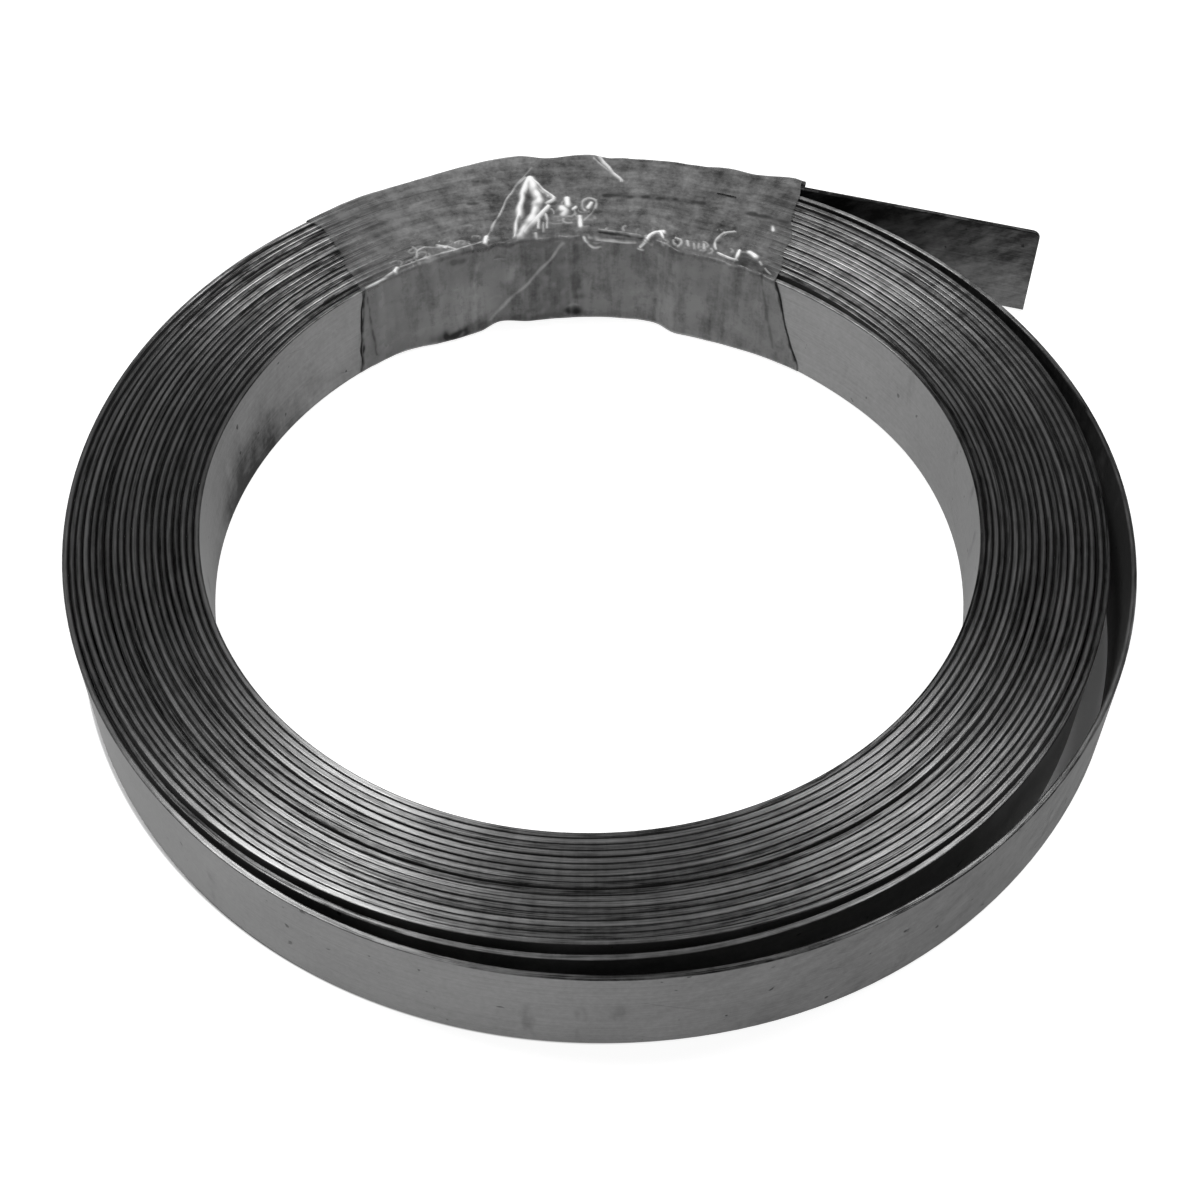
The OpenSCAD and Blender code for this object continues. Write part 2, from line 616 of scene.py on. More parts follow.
@dataclass
class StripCoil:
    """The whole strip as one swept piece: its tail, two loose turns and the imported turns."""

    width: float
    outer_radius: float
    bore_radius: float
    turns: int = 20
    thickness: float = 0.5
    arc_points: int = 4
    stations_a_turn: int = 180
    tail_angle: float = 75.0
    tail_length: float = 32.5
    tail_stand_off: float = 45.0
    # The angle in front of its root over which the tail is the coil's outside.
    tail_view: float = 60.0
    corner_round: float = 0.8
    corner_points: int = 9
    tail_stations: int = 24
    # The angle at which an evenly wound pack has just its nominal outer radius.
    even_angle: float = 165.0
    # How uneven the edges' heights are, and the angle over which that sets in behind the tail.
    slit_unevenness: float = 0.04
    settling: float = 60.0
    # The angle over which the pack's two ends take up the gaps of their neighbours.
    joining: float = 50.0
    # How much of a gap is always there, how much comes and goes as turns bunch, and how sharply.
    steady_gap: float = 0.6
    bunched_gap: float = 0.8
    bunching_edge: float = 1.2
    # How far along the strip the end caps' coordinates lie.
    cap_shift: float = 40.0
    # Where the surface faces further up or down than this, it is the slit edge.
    edge_facing: float = 0.4
    # A turn that stands off the pack by these distances gets less and less painted flank shade.
    unshaded: tuple[float, float] = (0.8, 1.2)
    # How much of the dullness and painted shade the tail's foot and the first turn's inner face get
    # beside the rest of the strip; below 0 it is painted light.
    tail_foot: float = 0.6
    inner_shade_share: float = -0.4
    bunching: Ripple = Ripple(seed=11, shortest=60.0, longest=430.0)
    stacking: Ripple = Ripple(seed=23, shortest=90.0, longest=900.0)
    # How far the first two turns spring off the pack, by angle along the strip.
    spring: Knots = (
        (75, 0.47), (130, 0.08), (190, 0.0), (225, 0.42), (240, 0.93), (270, 1.83), (330, 1.87),
        (360, 1.46), (392, 0.8), (410, 0.7), (435, 0.3), (470, 0.0), (555, 0.0), (585, 0.2),
        (600, 0.38), (630, 0.74), (660, 0.37), (690, 0.07), (715, 0.0), (735, 0.08), (755, 0.14),
        (775, 0.24), (800, 0.12), (820, 0.0),
    )
    # How much more room the pack has than elsewhere, by angle about the axis.
    swell: Knots = (
        (75, 0.0), (225, 0.03), (240, -0.07), (270, -0.39), (300, -0.02), (330, 0.29),
        (375, 0.6), (390, 0.48), (412, 0.05), (435, 0.0),
    )
    # How far the innermost turn sags into the bore, by angle about the axis.
    sag: Knots = ((383, 0.0), (395, 0.1), (410, 0.42), (420, 0.5), (435, 0.35))
    # How far the bore is out of round, by angle about the axis.
    ovalness: Knots = (
        (75, 0.0), (140, -0.05), (165, -0.2), (185, -0.2), (210, 0.0), (235, 0.2), (300, 0.22),
        (360, 0.24), (385, 0.2), (405, 0.0), (435, 0.0),
    )
    # How far the strip's edges are rounded, and how much painted shade darkens their flanks, by angle
    # about the axis.
    edge_rounding: Knots = (
        (75, 0.13), (135, 0.13), (160, 0.2), (208, 0.2), (232, 0.11), (312, 0.11), (335, 0.2),
        (378, 0.2), (400, 0.13), (435, 0.13),
    )
    flank_shade: Knots = (
        (75, 0.3), (115, 0.0), (135, 0.2), (160, 0.9), (175, 0.75), (205, 0.7), (232, 0.45),
        (312, 0.55), (335, 0.65), (378, 0.6), (400, 0.5), (435, 0.4),
    )
    # How evenly the slack is shared out between the turns, by angle about the axis.
    evenness: Knots = (
        (75, 0.25), (130, 0.3), (165, 1.0), (200, 0.9), (228, 0.16), (312, 0.16), (345, 0.9),
        (372, 0.7), (395, 0.28), (435, 0.25),
    )
    # Where turns stand apart: the turn outside the gap, the angle, its reach and its openness.
    partings: tuple[tuple[int, float, float, float], ...] = (
        (1, 160, 60, 0.5), (2, 410, 40, 0.6), (3, 212, 34, 1.3), (3, 343, 40, 1.5),
        (3, 410, 20, 0.5), (4, 148, 30, 1.0), (5, 275, 40, 0.35), (6, 205, 36, 1.0),
        (6, 408, 30, 1.0), (7, 296, 40, 0.6), (7, 355, 26, 1.0), (8, 410, 26, 0.5),
        (10, 338, 30, 1.2), (11, 270, 84, 1.7), (12, 300, 26, 0.7), (12, 405, 34, 0.8),
        (13, 150, 40, 1.0), (14, 262, 36, 1.2), (15, 222, 20, 1.0), (15, 405, 30, 0.6),
        (16, 280, 44, 1.4), (17, 150, 40, 0.8), (17, 410, 30, 0.9), (18, 408, 30, 0.4),
        (19, 240, 40, 0.4),
    )
    # How dull the strip is, by angle along it, with painted shade on the tail and the two loose turns
    # and real dullness on the bore's left wall. Below 0 it is painted lighter.
    dullness_and_shade: Knots = (
        (75, 1.1), (110, 0.3), (190, 0.0), (210, -0.12), (232, -0.12), (245, 0.0), (262, 0.12),
        (275, 0.33), (292, 0.55), (320, 0.58), (336, 0.85), (362, 0.5), (380, 0.1), (440, 0.0),
        (565, 0.0), (595, 0.55), (640, 0.5), (665, 0.25), (690, 0.0), (6860, 0.0), (6915, 0.35),
        (6975, 0.2), (6990, 0.3), (7005, 0.36), (7030, 0.2), (7080, 0.0), (7275, 0.0),
    )
    # Where dirt creeps up the bore's wall from its foot, by angle along the strip.
    dirty_foot: Knots = (
        (6950, 0.0), (6966, 0.4), (6980, 0.6), (6991, 0.95), (7000, 1.4), (7010, 1.15), (7020, 0.45),
        (7034, 0.0),
    )
    # Where painted shade darkens the inner face of the sprung turn in its gap, by angle along the strip.
    gap_shade: Knots = ((358, 0.0), (370, 1.0), (385, 1.4), (428, 1.4), (436, 0.0))
    angles: np.ndarray = field(init=False)
    radii: np.ndarray = field(init=False)

    def __post_init__(self) -> None:
        """Works out the route of the strip's middle line."""
        self.angles = self.tail_angle + np.arange(self.turns * self.stations_a_turn + 1) * (
            TURN / self.stations_a_turn
        )
        self.radii = self.wind()

    @property
    def pitch(self) -> float:
        """From one turn to the next, on average."""
        middles = self.outer_radius - self.bore_radius - self.thickness
        return middles / (self.turns - 1)

    def gap_shares(self) -> np.ndarray:
        """How much of the pack's spare room lies inside each turn.

        Returns:
            One row for each gap between turns, whose shares at each angle add up to 1. The
            turns bunch together and part again along the strip.
        """
        n = self.stations_a_turn
        around = self.angles[:n]
        route = self.angles[: n * (self.turns - 1)]
        drift = 0.5 + 0.5 * np.tanh(self.bunching_edge * self.bunching.at(route))
        gap = self.steady_gap + self.bunched_gap * drift
        shares = np.tile(through(self.evenness, around), self.turns - 1) * gap
        for turn, angle, reach, openness in self.partings:
            shares += openness * np.exp(-(((route - TURN * (turn - 1) - angle) / reach) ** 2))
        shares = shares.reshape(self.turns - 1, n)
        early = 1.0 - step(around, around[0], around[0] + self.joining)
        late = step(around, around[-1] - self.joining, around[-1])
        shares[0] += (shares[1:].mean(axis=0) - shares[0]) * early
        shares[-1] += (shares[:-1].mean(axis=0) - shares[-1]) * late
        return shares / shares.sum(axis=0)

    def wind(self) -> np.ndarray:
        """Lays each turn on the one inside it, from the innermost out.

        Returns:
            The radius of the strip's middle line at each station.
        """
        n, last = self.stations_a_turn, self.turns - 1
        start = self.outer_radius - self.thickness / 2.0
        even = start - self.pitch * (self.angles - self.even_angle) / TURN
        innermost = self.angles - last * TURN
        radii = np.zeros_like(self.angles)
        radii[last * n :] = even[last * n :] + through(self.ovalness, innermost[last * n :])
        around = self.angles[:n]
        spare = last * (self.pitch - self.thickness) + through(self.swell, around)
        gaps = self.gap_shares() * (spare - through(self.ovalness, around))
        for turn in range(last - 1, -1, -1):
            inner = radii[(turn + 1) * n : (turn + 2) * n]
            radii[turn * n : (turn + 1) * n] = inner + self.thickness + gaps[turn]
        radii += through(self.spring, self.angles)
        radii -= np.where(innermost >= self.tail_angle, through(self.sag, innermost), 0.0)
        return radii

    def inner_face(self, around: np.ndarray) -> np.ndarray:
        """The bore's wall.

        Args:
            around: Angles about the axis.

        Returns:
            Its radius at each.
        """
        route = self.about(around) + (self.turns - 1) * TURN
        return np.interp(route, self.angles, self.radii) - self.thickness / 2.0

    def outer_face(self, around: np.ndarray) -> np.ndarray:
        """The outside of the coil near the tail, with the tail itself.

        Args:
            around: Angles about the axis.

        Returns:
            The outermost radius at each.
        """
        half = self.thickness / 2.0
        first = np.interp(around, self.angles, self.radii) + half
        off = np.radians(np.clip(self.tail_angle - around, 0.0, self.tail_view))
        tail = (self.tail_stand_off + half) / np.cos(off)
        return np.where(around < self.tail_angle, tail, first)

    def section(self) -> Section:
        """Lists the points round the strip's section.

        Returns:
            The section, with its edges rounded.
        """
        side, off, facing, upper = [], [], [], []
        for corner, (out, top) in enumerate([(1, True), (-1, True), (-1, False), (1, False)]):
            for angle in np.radians(90.0 * corner + np.linspace(0.0, 90.0, self.arc_points)):
                across, rise = math.cos(angle), math.sin(angle)
                side.append(out)
                off.append((across - out, rise - 1.0 if top else rise + 1.0))
                facing.append((across, rise))
                upper.append(top)
        return Section(np.array(side), np.array(off), np.array(facing), np.array(upper))

    def tail_route(self) -> tuple[np.ndarray, np.ndarray]:
        """The straight tail, from its tip to just short of its root.

        Returns:
            Distances from the root, and how far the upper edge is cut down at each by the
            rounded corner.
        """
        r = self.corner_round
        rounding = r * np.sin(np.radians(np.linspace(90.0, 0.0, self.corner_points)))
        cut = r - np.sqrt(np.maximum(r * r - rounding**2, 0.0))
        straight = np.linspace(self.tail_length - r, 0.0, self.tail_stations, endpoint=False)[1:]
        distances = np.concatenate([self.tail_length - r + rounding, straight])
        return distances, np.concatenate([cut, np.zeros(len(straight))])

    def stations(self) -> dict[str, np.ndarray]:
        """Every station from the tail's tip to the inner end.

        Returns:
            The middle line's places, the directions ahead and outward, the distances along the
            strip, how far the upper edge is cut down and how steeply it slopes, and the angles.
        """
        distances, cut = self.tail_route()
        root = polar(np.array([self.radii[0]]), self.angles[:1])
        heading = polar(np.array([1.0]), np.array([self.tail_angle - 90.0]))
        tail = root + distances[:, None] * heading
        places = np.concatenate([tail, polar(self.radii, self.angles)])
        ahead = np.gradient(places, axis=0)
        ahead[: len(tail)] = -heading
        ahead /= np.linalg.norm(ahead, axis=1)[:, None]
        outward = np.stack([ahead[:, 1], -ahead[:, 0]], axis=1)
        steps = np.linalg.norm(np.diff(places, axis=0), axis=1)
        coiled = np.zeros(len(self.angles))
        lean = np.sqrt(np.clip(1.0 - (1.0 - cut / self.corner_round) ** 2, 0, 1))
        return {
            "places": places,
            "ahead": ahead,
            "outward": outward,
            "along": np.concatenate([[0.0], np.cumsum(steps)]),
            "cut": np.concatenate([cut, coiled]),
            "lean": np.concatenate([lean, coiled]),
            "angles": np.concatenate([np.full(len(tail), self.angles[0]), self.angles]),
        }

    def about(self, angles: np.ndarray) -> np.ndarray:
        """Angles about the axis, all within one turn from the tail."""
        return (angles - self.tail_angle) % TURN + self.tail_angle

    def sweep(self, route: Mapping[str, np.ndarray], section: Section) -> tuple[np.ndarray, np.ndarray]:
        """Sweeps the section along the route.

        Args:
            route: What stations() gives.
            section: What section() gives.

        Returns:
            The points and the directions that the surface faces, one row each, station by station.
        """
        angles, upper, facing = route["angles"], section.upper, section.facing
        settle = step(angles, self.tail_angle, self.tail_angle + self.settling)
        lift = self.slit_unevenness * settle * np.clip(self.stacking.at(angles), -2.0, 2.0)
        rounding = through(self.edge_rounding, self.about(angles))[:, None]
        top = self.width - route["cut"]
        rise = np.where(upper[None, :], top[:, None], 0.0) + lift[:, None] + rounding * section.off[:, 1]
        shift = section.side * self.thickness / 2.0 + rounding * section.off[:, 0]
        flat = route["places"][:, None, :] + route["outward"][:, None, :] * shift[:, :, None]
        points = np.concatenate([flat, rise[:, :, None]], axis=2)

        lean = route["lean"][:, None] * upper[None, :]
        upright = facing[None, :, 1] * np.sqrt(1.0 - lean**2)
        across = route["outward"][:, None, :] * facing[None, :, :1]
        across = across - route["ahead"][:, None, :] * (facing[None, :, 1] * lean)[:, :, None]
        normals = np.concatenate([across, upright[:, :, None]], axis=2)
        return points.reshape(-1, 3), normals.reshape(-1, 3)

    def paint_marks(self, piece: bpy.types.Object, angles: np.ndarray, section: Section) -> None:
        """Stores the strip's edges, the painted shade on their flanks, its dullness with painted shade
        and light, and its dirt with the painted shade in the sprung turn's gap.

        Args:
            piece: The coil.
            angles: The stations' angles along the strip.
            section: What section() gives.
        """
        upper, inward, rise = section.upper, section.side < 0, section.facing[:, 1]
        rim = np.tile(np.abs(rise) > self.edge_facing, (len(angles), 1)).astype(float)
        # Painted shade on the rounded flanks of the edges, by angle about the axis, left off where a
        # turn stands free.
        pressed = 1.0 - step(through(self.spring, angles), *self.unshaded)
        shaded = through(self.flank_shade, self.about(angles)) * pressed
        crown = 1.0 - shaded[:, None] * (1.0 - rise**2)
        # Dullness with painted shade: less on the tail's foot, and turned to painted light on the first
        # turn's inner face.
        foot_share = np.where(angles > self.tail_angle, 1.0, self.tail_foot)[:, None]
        first_turn = (angles > self.tail_angle) & (angles < self.tail_angle + TURN)
        inner_share = np.where(first_turn, self.inner_shade_share, 1.0)[:, None]
        share = np.where(upper, 1.0, foot_share) * np.where(inward, inner_share, 1.0)
        dull_and_shade_values = through(self.dullness_and_shade, angles)[:, None] * share
        # Dirt at the foot of the bore's wall, and painted shade on the inner face in the sprung turn's
        # gap.
        foot = through(self.dirty_foot, angles)[:, None] * ~upper
        dirt_and_shade = foot + through(self.gap_shade, angles)[:, None] * inward
        caps = 2 * len(upper)
        marks = [(RIM, rim, 1.0), (FLANK_SHADING, crown, 1.0), (DULL_AND_SHADED, dull_and_shade_values, 0.0), (GRIME_AND_GAP_SHADE, dirt_and_shade, 0.0)]
        for mark, values, at_ends in marks:
            paint(piece, mark, np.concatenate([values.ravel(), np.full(caps, at_ends)]))

    def build(self, name: str, finish: bpy.types.Material) -> bpy.types.Object:
        """Makes the mesh, with a cap on each end, and stores what its material reads.

        Args:
            name: The piece's name.
            finish: Its material.

        Returns:
            The coil as one mesh object.
        """
        route, section = self.stations(), self.section()
        body, normals = self.sweep(route, section)
        count, ring = len(route["along"]), len(section.side)
        faces = skin(count, ring)
        faces.append([len(body) + i for i in range(ring)][::-1])
        faces.append([len(body) + ring + i for i in range(ring)])
        end_normals = [np.append(-route["ahead"][0], 0.0), np.append(route["ahead"][-1], 0.0)]
        normals = np.concatenate([normals, np.repeat(end_normals, ring, axis=0)])
        piece = make_piece(name, np.concatenate([body, body[:ring], body[-ring:]]), faces, finish)
        self.paint_marks(piece, route["angles"], section)
        self.lay_coordinates(piece, route["along"], section)
        piece.data.normals_split_custom_set_from_vertices(normals.tolist())
        return piece

    def lay_coordinates(self, piece: bpy.types.Object, along: np.ndarray, section: Section) -> None:
        """Stores the distance along the strip and round its section, in metres.

        Args:
            piece: The coil.
            along: The distance of each station.
            section: What section() gives.
        """
        rounding = self.edge_rounding[0][1]
        heights = rounding * section.off[:, 1] + np.where(section.upper, self.width, 0.0)
        loop = np.stack([section.side * self.thickness / 2.0, heights], axis=1)
        sides = np.linalg.norm(np.roll(loop, -1, axis=0) - loop, axis=1)
        round_it = np.concatenate([[0.0], np.cumsum(sides)])
        u = np.stack([along[:-1], along[1:], along[1:], along[:-1]], axis=1)
        v = np.stack([round_it[:-1], round_it[:-1], round_it[1:], round_it[1:]], axis=1)
        uv = np.zeros((len(along) - 1, len(loop), 4, 2))
        uv[..., 0] = u[:, None, :]
        uv[..., 1] = v[None, :, :]
        cap = loop + [self.cap_shift, 0.0]
        lay_map(piece, STRIP_UV, np.concatenate([uv.reshape(-1, 2), cap[::-1], cap]))


# ---------------------------------------------------------------- the film wrap


@dataclass(frozen=True)
class FilmFinish:
    """Thin clear film: a grey, cloudy veil with a soft gloss, whitened along its creases with painted
    glints that glow a little, and painted shade where it is gathered into pockets. Painted light
    makes it paler on the bore's wall and at its left.
    """

    haze: float = 0.19
    white_and_glint: float = 0.95
    # A painted glint: the creases glow a little.
    glint: float = 0.20
    pocket_shade: float = 0.012
    # How rough the film is, and how much rougher clouds and pockets make it.
    roughness: float = 0.27
    cloud_roughness: float = 0.16
    pocket_roughness: float = 0.5
    refraction: float = 1.35
    # How far each mark makes the haze lighter or darker.
    cloud: float = 1.1
    pull: float = 0.6
    crinkle: float = 0.8
    fine: float = 0.7
    # How much denser each makes the veil.
    cloud_density: float = 0.7
    pull_density: float = 0.5
    crease_density: float = 0.7
    pocket_density: float = 0.6
    # How much painted light makes the bore's wall and the film's left part paler, and how much more
    # pleated the wall is.
    wall_painted_light: float = 0.36
    left_painted_light: float = 0.28
    wall_pleats: float = 1.3

    def build(self) -> bpy.types.Material:
        """The material, which reads the film's own coordinates and its painted numbers."""
        return make_material("clear_film", self.surface)

    def surface(self, bench: NodeBench) -> bpy.types.Node:
        """Adds the nodes of the surface.

        Args:
            bench: Where they go.

        Returns:
            The shader.
        """
        place, sheet = bench.place(), bench.laid(FILM_UV)
        crease, shade, veil = (bench.painted(name) for name in (WHITENING_AND_GLINT, SHADE, VEIL))
        clouds = bench.noise(place, 0.30, 4.0, 0.6)
        pleats = bench.noise(sheet.stretched(0.62, 0.10), 1.0, 3.0, 0.6)
        drawn = bench.noise(sheet.stretched(0.12, 1.1), 1.0, 3.0, 0.6)
        crinkle = bench.noise(place, 1.1, 3.0, 0.6)
        fine = bench.noise(place, 3.0, 3.0, 0.6)
        wall = place.part(2).rise(10.0, 9.5)

        pulled = drawn.swing(1.0 - wall)
        tone = 0.5 + clouds.swing(self.cloud) + self.pull * pulled
        tone = tone + pleats.swing(1.0 + self.wall_pleats * wall)
        # Painted light: the film is paler on the bore's wall and at its left.
        tone = tone + crinkle.swing(self.crinkle) + fine.swing(self.fine) + self.wall_painted_light * wall
        tone = tone + self.left_painted_light * place.part(0).rise(-9.0, -19.0)
        colour = bench.blend(tone, grey(self.haze * 0.25), grey(self.haze * 1.75))
        # Painted shade in the pockets, and white creases with painted glints over it.
        colour = bench.blend(shade, colour, grey(self.pocket_shade))
        colour = bench.blend(crease, colour, grey(self.white_and_glint))
        roughness = self.roughness + clouds.swing(self.cloud_roughness) + self.pocket_roughness * shade
        density = veil + clouds.swing(self.cloud_density) + self.pull_density * pulled
        density = density + self.crease_density * crease + self.pocket_density * shade
        return bench.make(
            "ShaderNodeBsdfPrincipled",
            {},
            {
                "Base Color": colour,
                "Roughness": roughness,
                "Alpha": density,
                "IOR": self.refraction,
                # The painted glint glows in the creases.
                "Emission Color": bench.blend(crease, grey(0.0), grey(self.glint)),
                "Emission Strength": 1.0,
                "Normal": bench.bump(crinkle + 0.2 * fine, 0.4, 0.10 * MM),
            },
        )


def arc(
    centre: tuple[float, float], reach: tuple[float, float], start: float, end: float
) -> Knots:
    """A curved path on the film.

    Args:
        centre: The angle and radius that it bends round.
        reach: How far it stands off that place along the coil and across it, in millimetres.
        start: Where it starts, in degrees round that place.
        end: Where it ends.

    Returns:
        The path's places.
    """
    turns = np.radians(np.linspace(start, end, 9))
    swing = math.degrees(reach[0] / centre[1])
    return tuple((centre[0] + swing * math.cos(t), centre[1] + reach[1] * math.sin(t)) for t in turns)


@dataclass(frozen=True)
class Crease:
    """A fold in the film, along a path of (angle, radius) places. The bore's wall counts as folded
    up level with the top, inside its upper edge. Whitening and shade run from -1, painted shade of a
    dark pocket, to 1, a white crease with a painted glint.
    """

    path: Knots
    height: float
    width: float
    whitening_and_shade: float = 0.5

    def near(self, points: np.ndarray) -> np.ndarray:
        """Finds the points that the fold can reach.

        Args:
            points: One row each.

        Returns:
            Their numbers.
        """
        places, reach = self.places(), 2.6 * self.width
        low, high = places.min(axis=0) - reach, places.max(axis=0) + reach
        return np.flatnonzero(np.all((points > low) & (points < high), axis=1))

    def places(self) -> np.ndarray:
        """Rounds off the path's corners.

        Returns:
            The points of the rounded path, one row each.
        """
        path = np.array(self.path, float)
        path = polar(path[:, 1], path[:, 0])
        for _ in range(2):
            early = 0.75 * path[:-1] + 0.25 * path[1:]
            late = 0.25 * path[:-1] + 0.75 * path[1:]
            path = np.concatenate([path[:1], np.stack([early, late], axis=1).reshape(-1, 2), path[-1:]])
        return path

    def distance(self, points: np.ndarray) -> np.ndarray:
        """How far points are from the path.

        Args:
            points: One row each.

        Returns:
            The shortest distances.
        """
        nearest = np.full(len(points), 1e9)
        places = self.places()
        for a, b in zip(places[:-1], places[1:]):
            line = b - a
            share = np.clip((points - a) @ line / max(float(line @ line), 1e-9), 0.0, 1.0)
            nearest = np.minimum(nearest, np.linalg.norm(points - a - share[:, None] * line, axis=1))
        return nearest


# What shows on top: painted shade of long dark lines of the turns below, two fine lines, a tent of
# film with painted glints and a grey island, a slash near the outside, a ring and some painted sparks.
TOP_FOLDS = (
    Crease(((127.9, 43.0), (122.5, 43.1), (117.4, 43.0), (113.4, 42.8), (109.9, 42.6)), 0.0, 0.14, -0.7),
    Crease(((121.0, 41.6), (112.0, 41.4)), 0.0, 0.13, -0.55),
    Crease(((118.0, 40.3), (113.0, 40.2), (108.0, 40.0)), 0.0, 0.13, -0.5),
    Crease(((88.6, 39.4), (85.0, 39.4), (79.0, 39.7), (74.6, 39.9)), 0.0, 0.42, -0.84),
    Crease(((69.0, 39.9), (65.0, 40.1), (62.6, 40.3)), 0.0, 0.40, -0.82),
    Crease(((106.4, 42.9), (105.8, 42.8)), 0.0, 0.28, -0.8),
    Crease(((104.8, 42.7), (104.2, 42.6)), 0.0, 0.40, -0.55),
    Crease(((108.2, 39.8), (106.8, 39.6)), 0.0, 0.28, -0.75),
    Crease(((109.3, 38.6), (107.8, 38.4)), 0.0, 0.24, -0.55),
    Crease(((105.3, 40.8), (104.2, 40.6)), 0.0, 0.26, -0.7),
    Crease(
        ((98.3, 43.8), (100.2, 42.1), (102.3, 39.9), (104.4, 37.6), (106.8, 35.1), (108.0, 33.7)),
        0.12, 0.065, 0.34,
    ),
    Crease(((99.5, 42.4), (101.8, 40.5), (104.0, 37.9), (106.4, 35.3)), 0.12, 0.075, 0.42),
    Crease(((108.0, 33.8), (107.3, 34.6)), 0.20, 0.17, 1.0),
    Crease(((99.0, 42.1), (99.9, 40.8), (100.4, 39.4), (101.1, 38.0), (101.4, 36.9)), 0.34, 0.26, 1.0),
    Crease(((101.4, 37.2), (102.3, 35.7), (103.1, 34.0)), 0.30, 0.15, 0.95),
    Crease(((98.9, 42.0), (98.6, 41.0), (98.3, 40.0), (98.1, 39.0), (98.7, 38.0)), 0.30, 0.38, 1.0),
    Crease(((98.6, 38.2), (99.5, 36.7), (100.8, 35.3), (102.1, 34.1)), 0.30, 0.36, 1.0),
    Crease(((97.0, 37.8), (98.2, 36.9), (99.6, 35.7), (101.2, 34.4)), 0.26, 0.20, 0.95),
    Crease(((99.5, 39.8), (99.9, 38.6), (100.2, 37.3)), 0.0, 0.30, -0.55),
    Crease(((98.9, 42.2), (98.0, 41.2), (96.0, 39.0)), 0.28, 0.15, 0.95),
    Crease(((98.6, 41.2), (97.4, 40.1), (96.8, 39.3)), 0.24, 0.13, 0.6),
    Crease(((96.5, 39.5), (95.9, 38.8), (97.2, 38.2)), 0.24, 0.17, 0.9),
    Crease(((98.7, 36.2), (99.0, 34.9)), 0.14, 0.11, 0.8),
    Crease(((97.4, 36.9), (97.6, 34.8)), 0.14, 0.11, 0.6),
    Crease(((98.1, 35.6), (98.3, 34.3)), 0.10, 0.09, 0.4),
    Crease(((99.6, 34.2), (99.6, 33.5)), 0.14, 0.13, 0.9),
    Crease(((89.7, 45.3), (88.5, 43.6), (86.5, 41.7)), 0.20, 0.17, 0.7),
    Crease(((90.3, 44.9), (88.6, 43.2)), 0.12, 0.08, 0.3),
    Crease(((94.2, 38.9), (94.1, 37.9)), 0.18, 0.24, 1.0),
    Crease(((94.9, 37.6), (94.3, 37.2), (94.8, 36.6)), 0.18, 0.26, 0.95),
    Crease(((93.3, 37.4), (92.9, 37.6)), 0.16, 0.14, 0.9),
    Crease(((91.3, 38.3), (90.6, 38.2)), 0.0, 0.36, -0.3),
    Crease(arc((90.9, 38.0), (0.75, 0.95), -60, 215), 0.14, 0.12, 0.36),
    Crease(((91.1, 37.6), (90.6, 38.1)), 0.16, 0.16, 0.95),
    Crease(((92.3, 36.2), (92.3, 34.8)), 0.16, 0.19, 0.95),
    Crease(((89.8, 38.6), (90.2, 37.2), (91.6, 35.6)), 0.12, 0.08, 0.28),
    Crease(((64.0, 39.1), (63.7, 38.7)), 0.12, 0.16, 0.75),
)
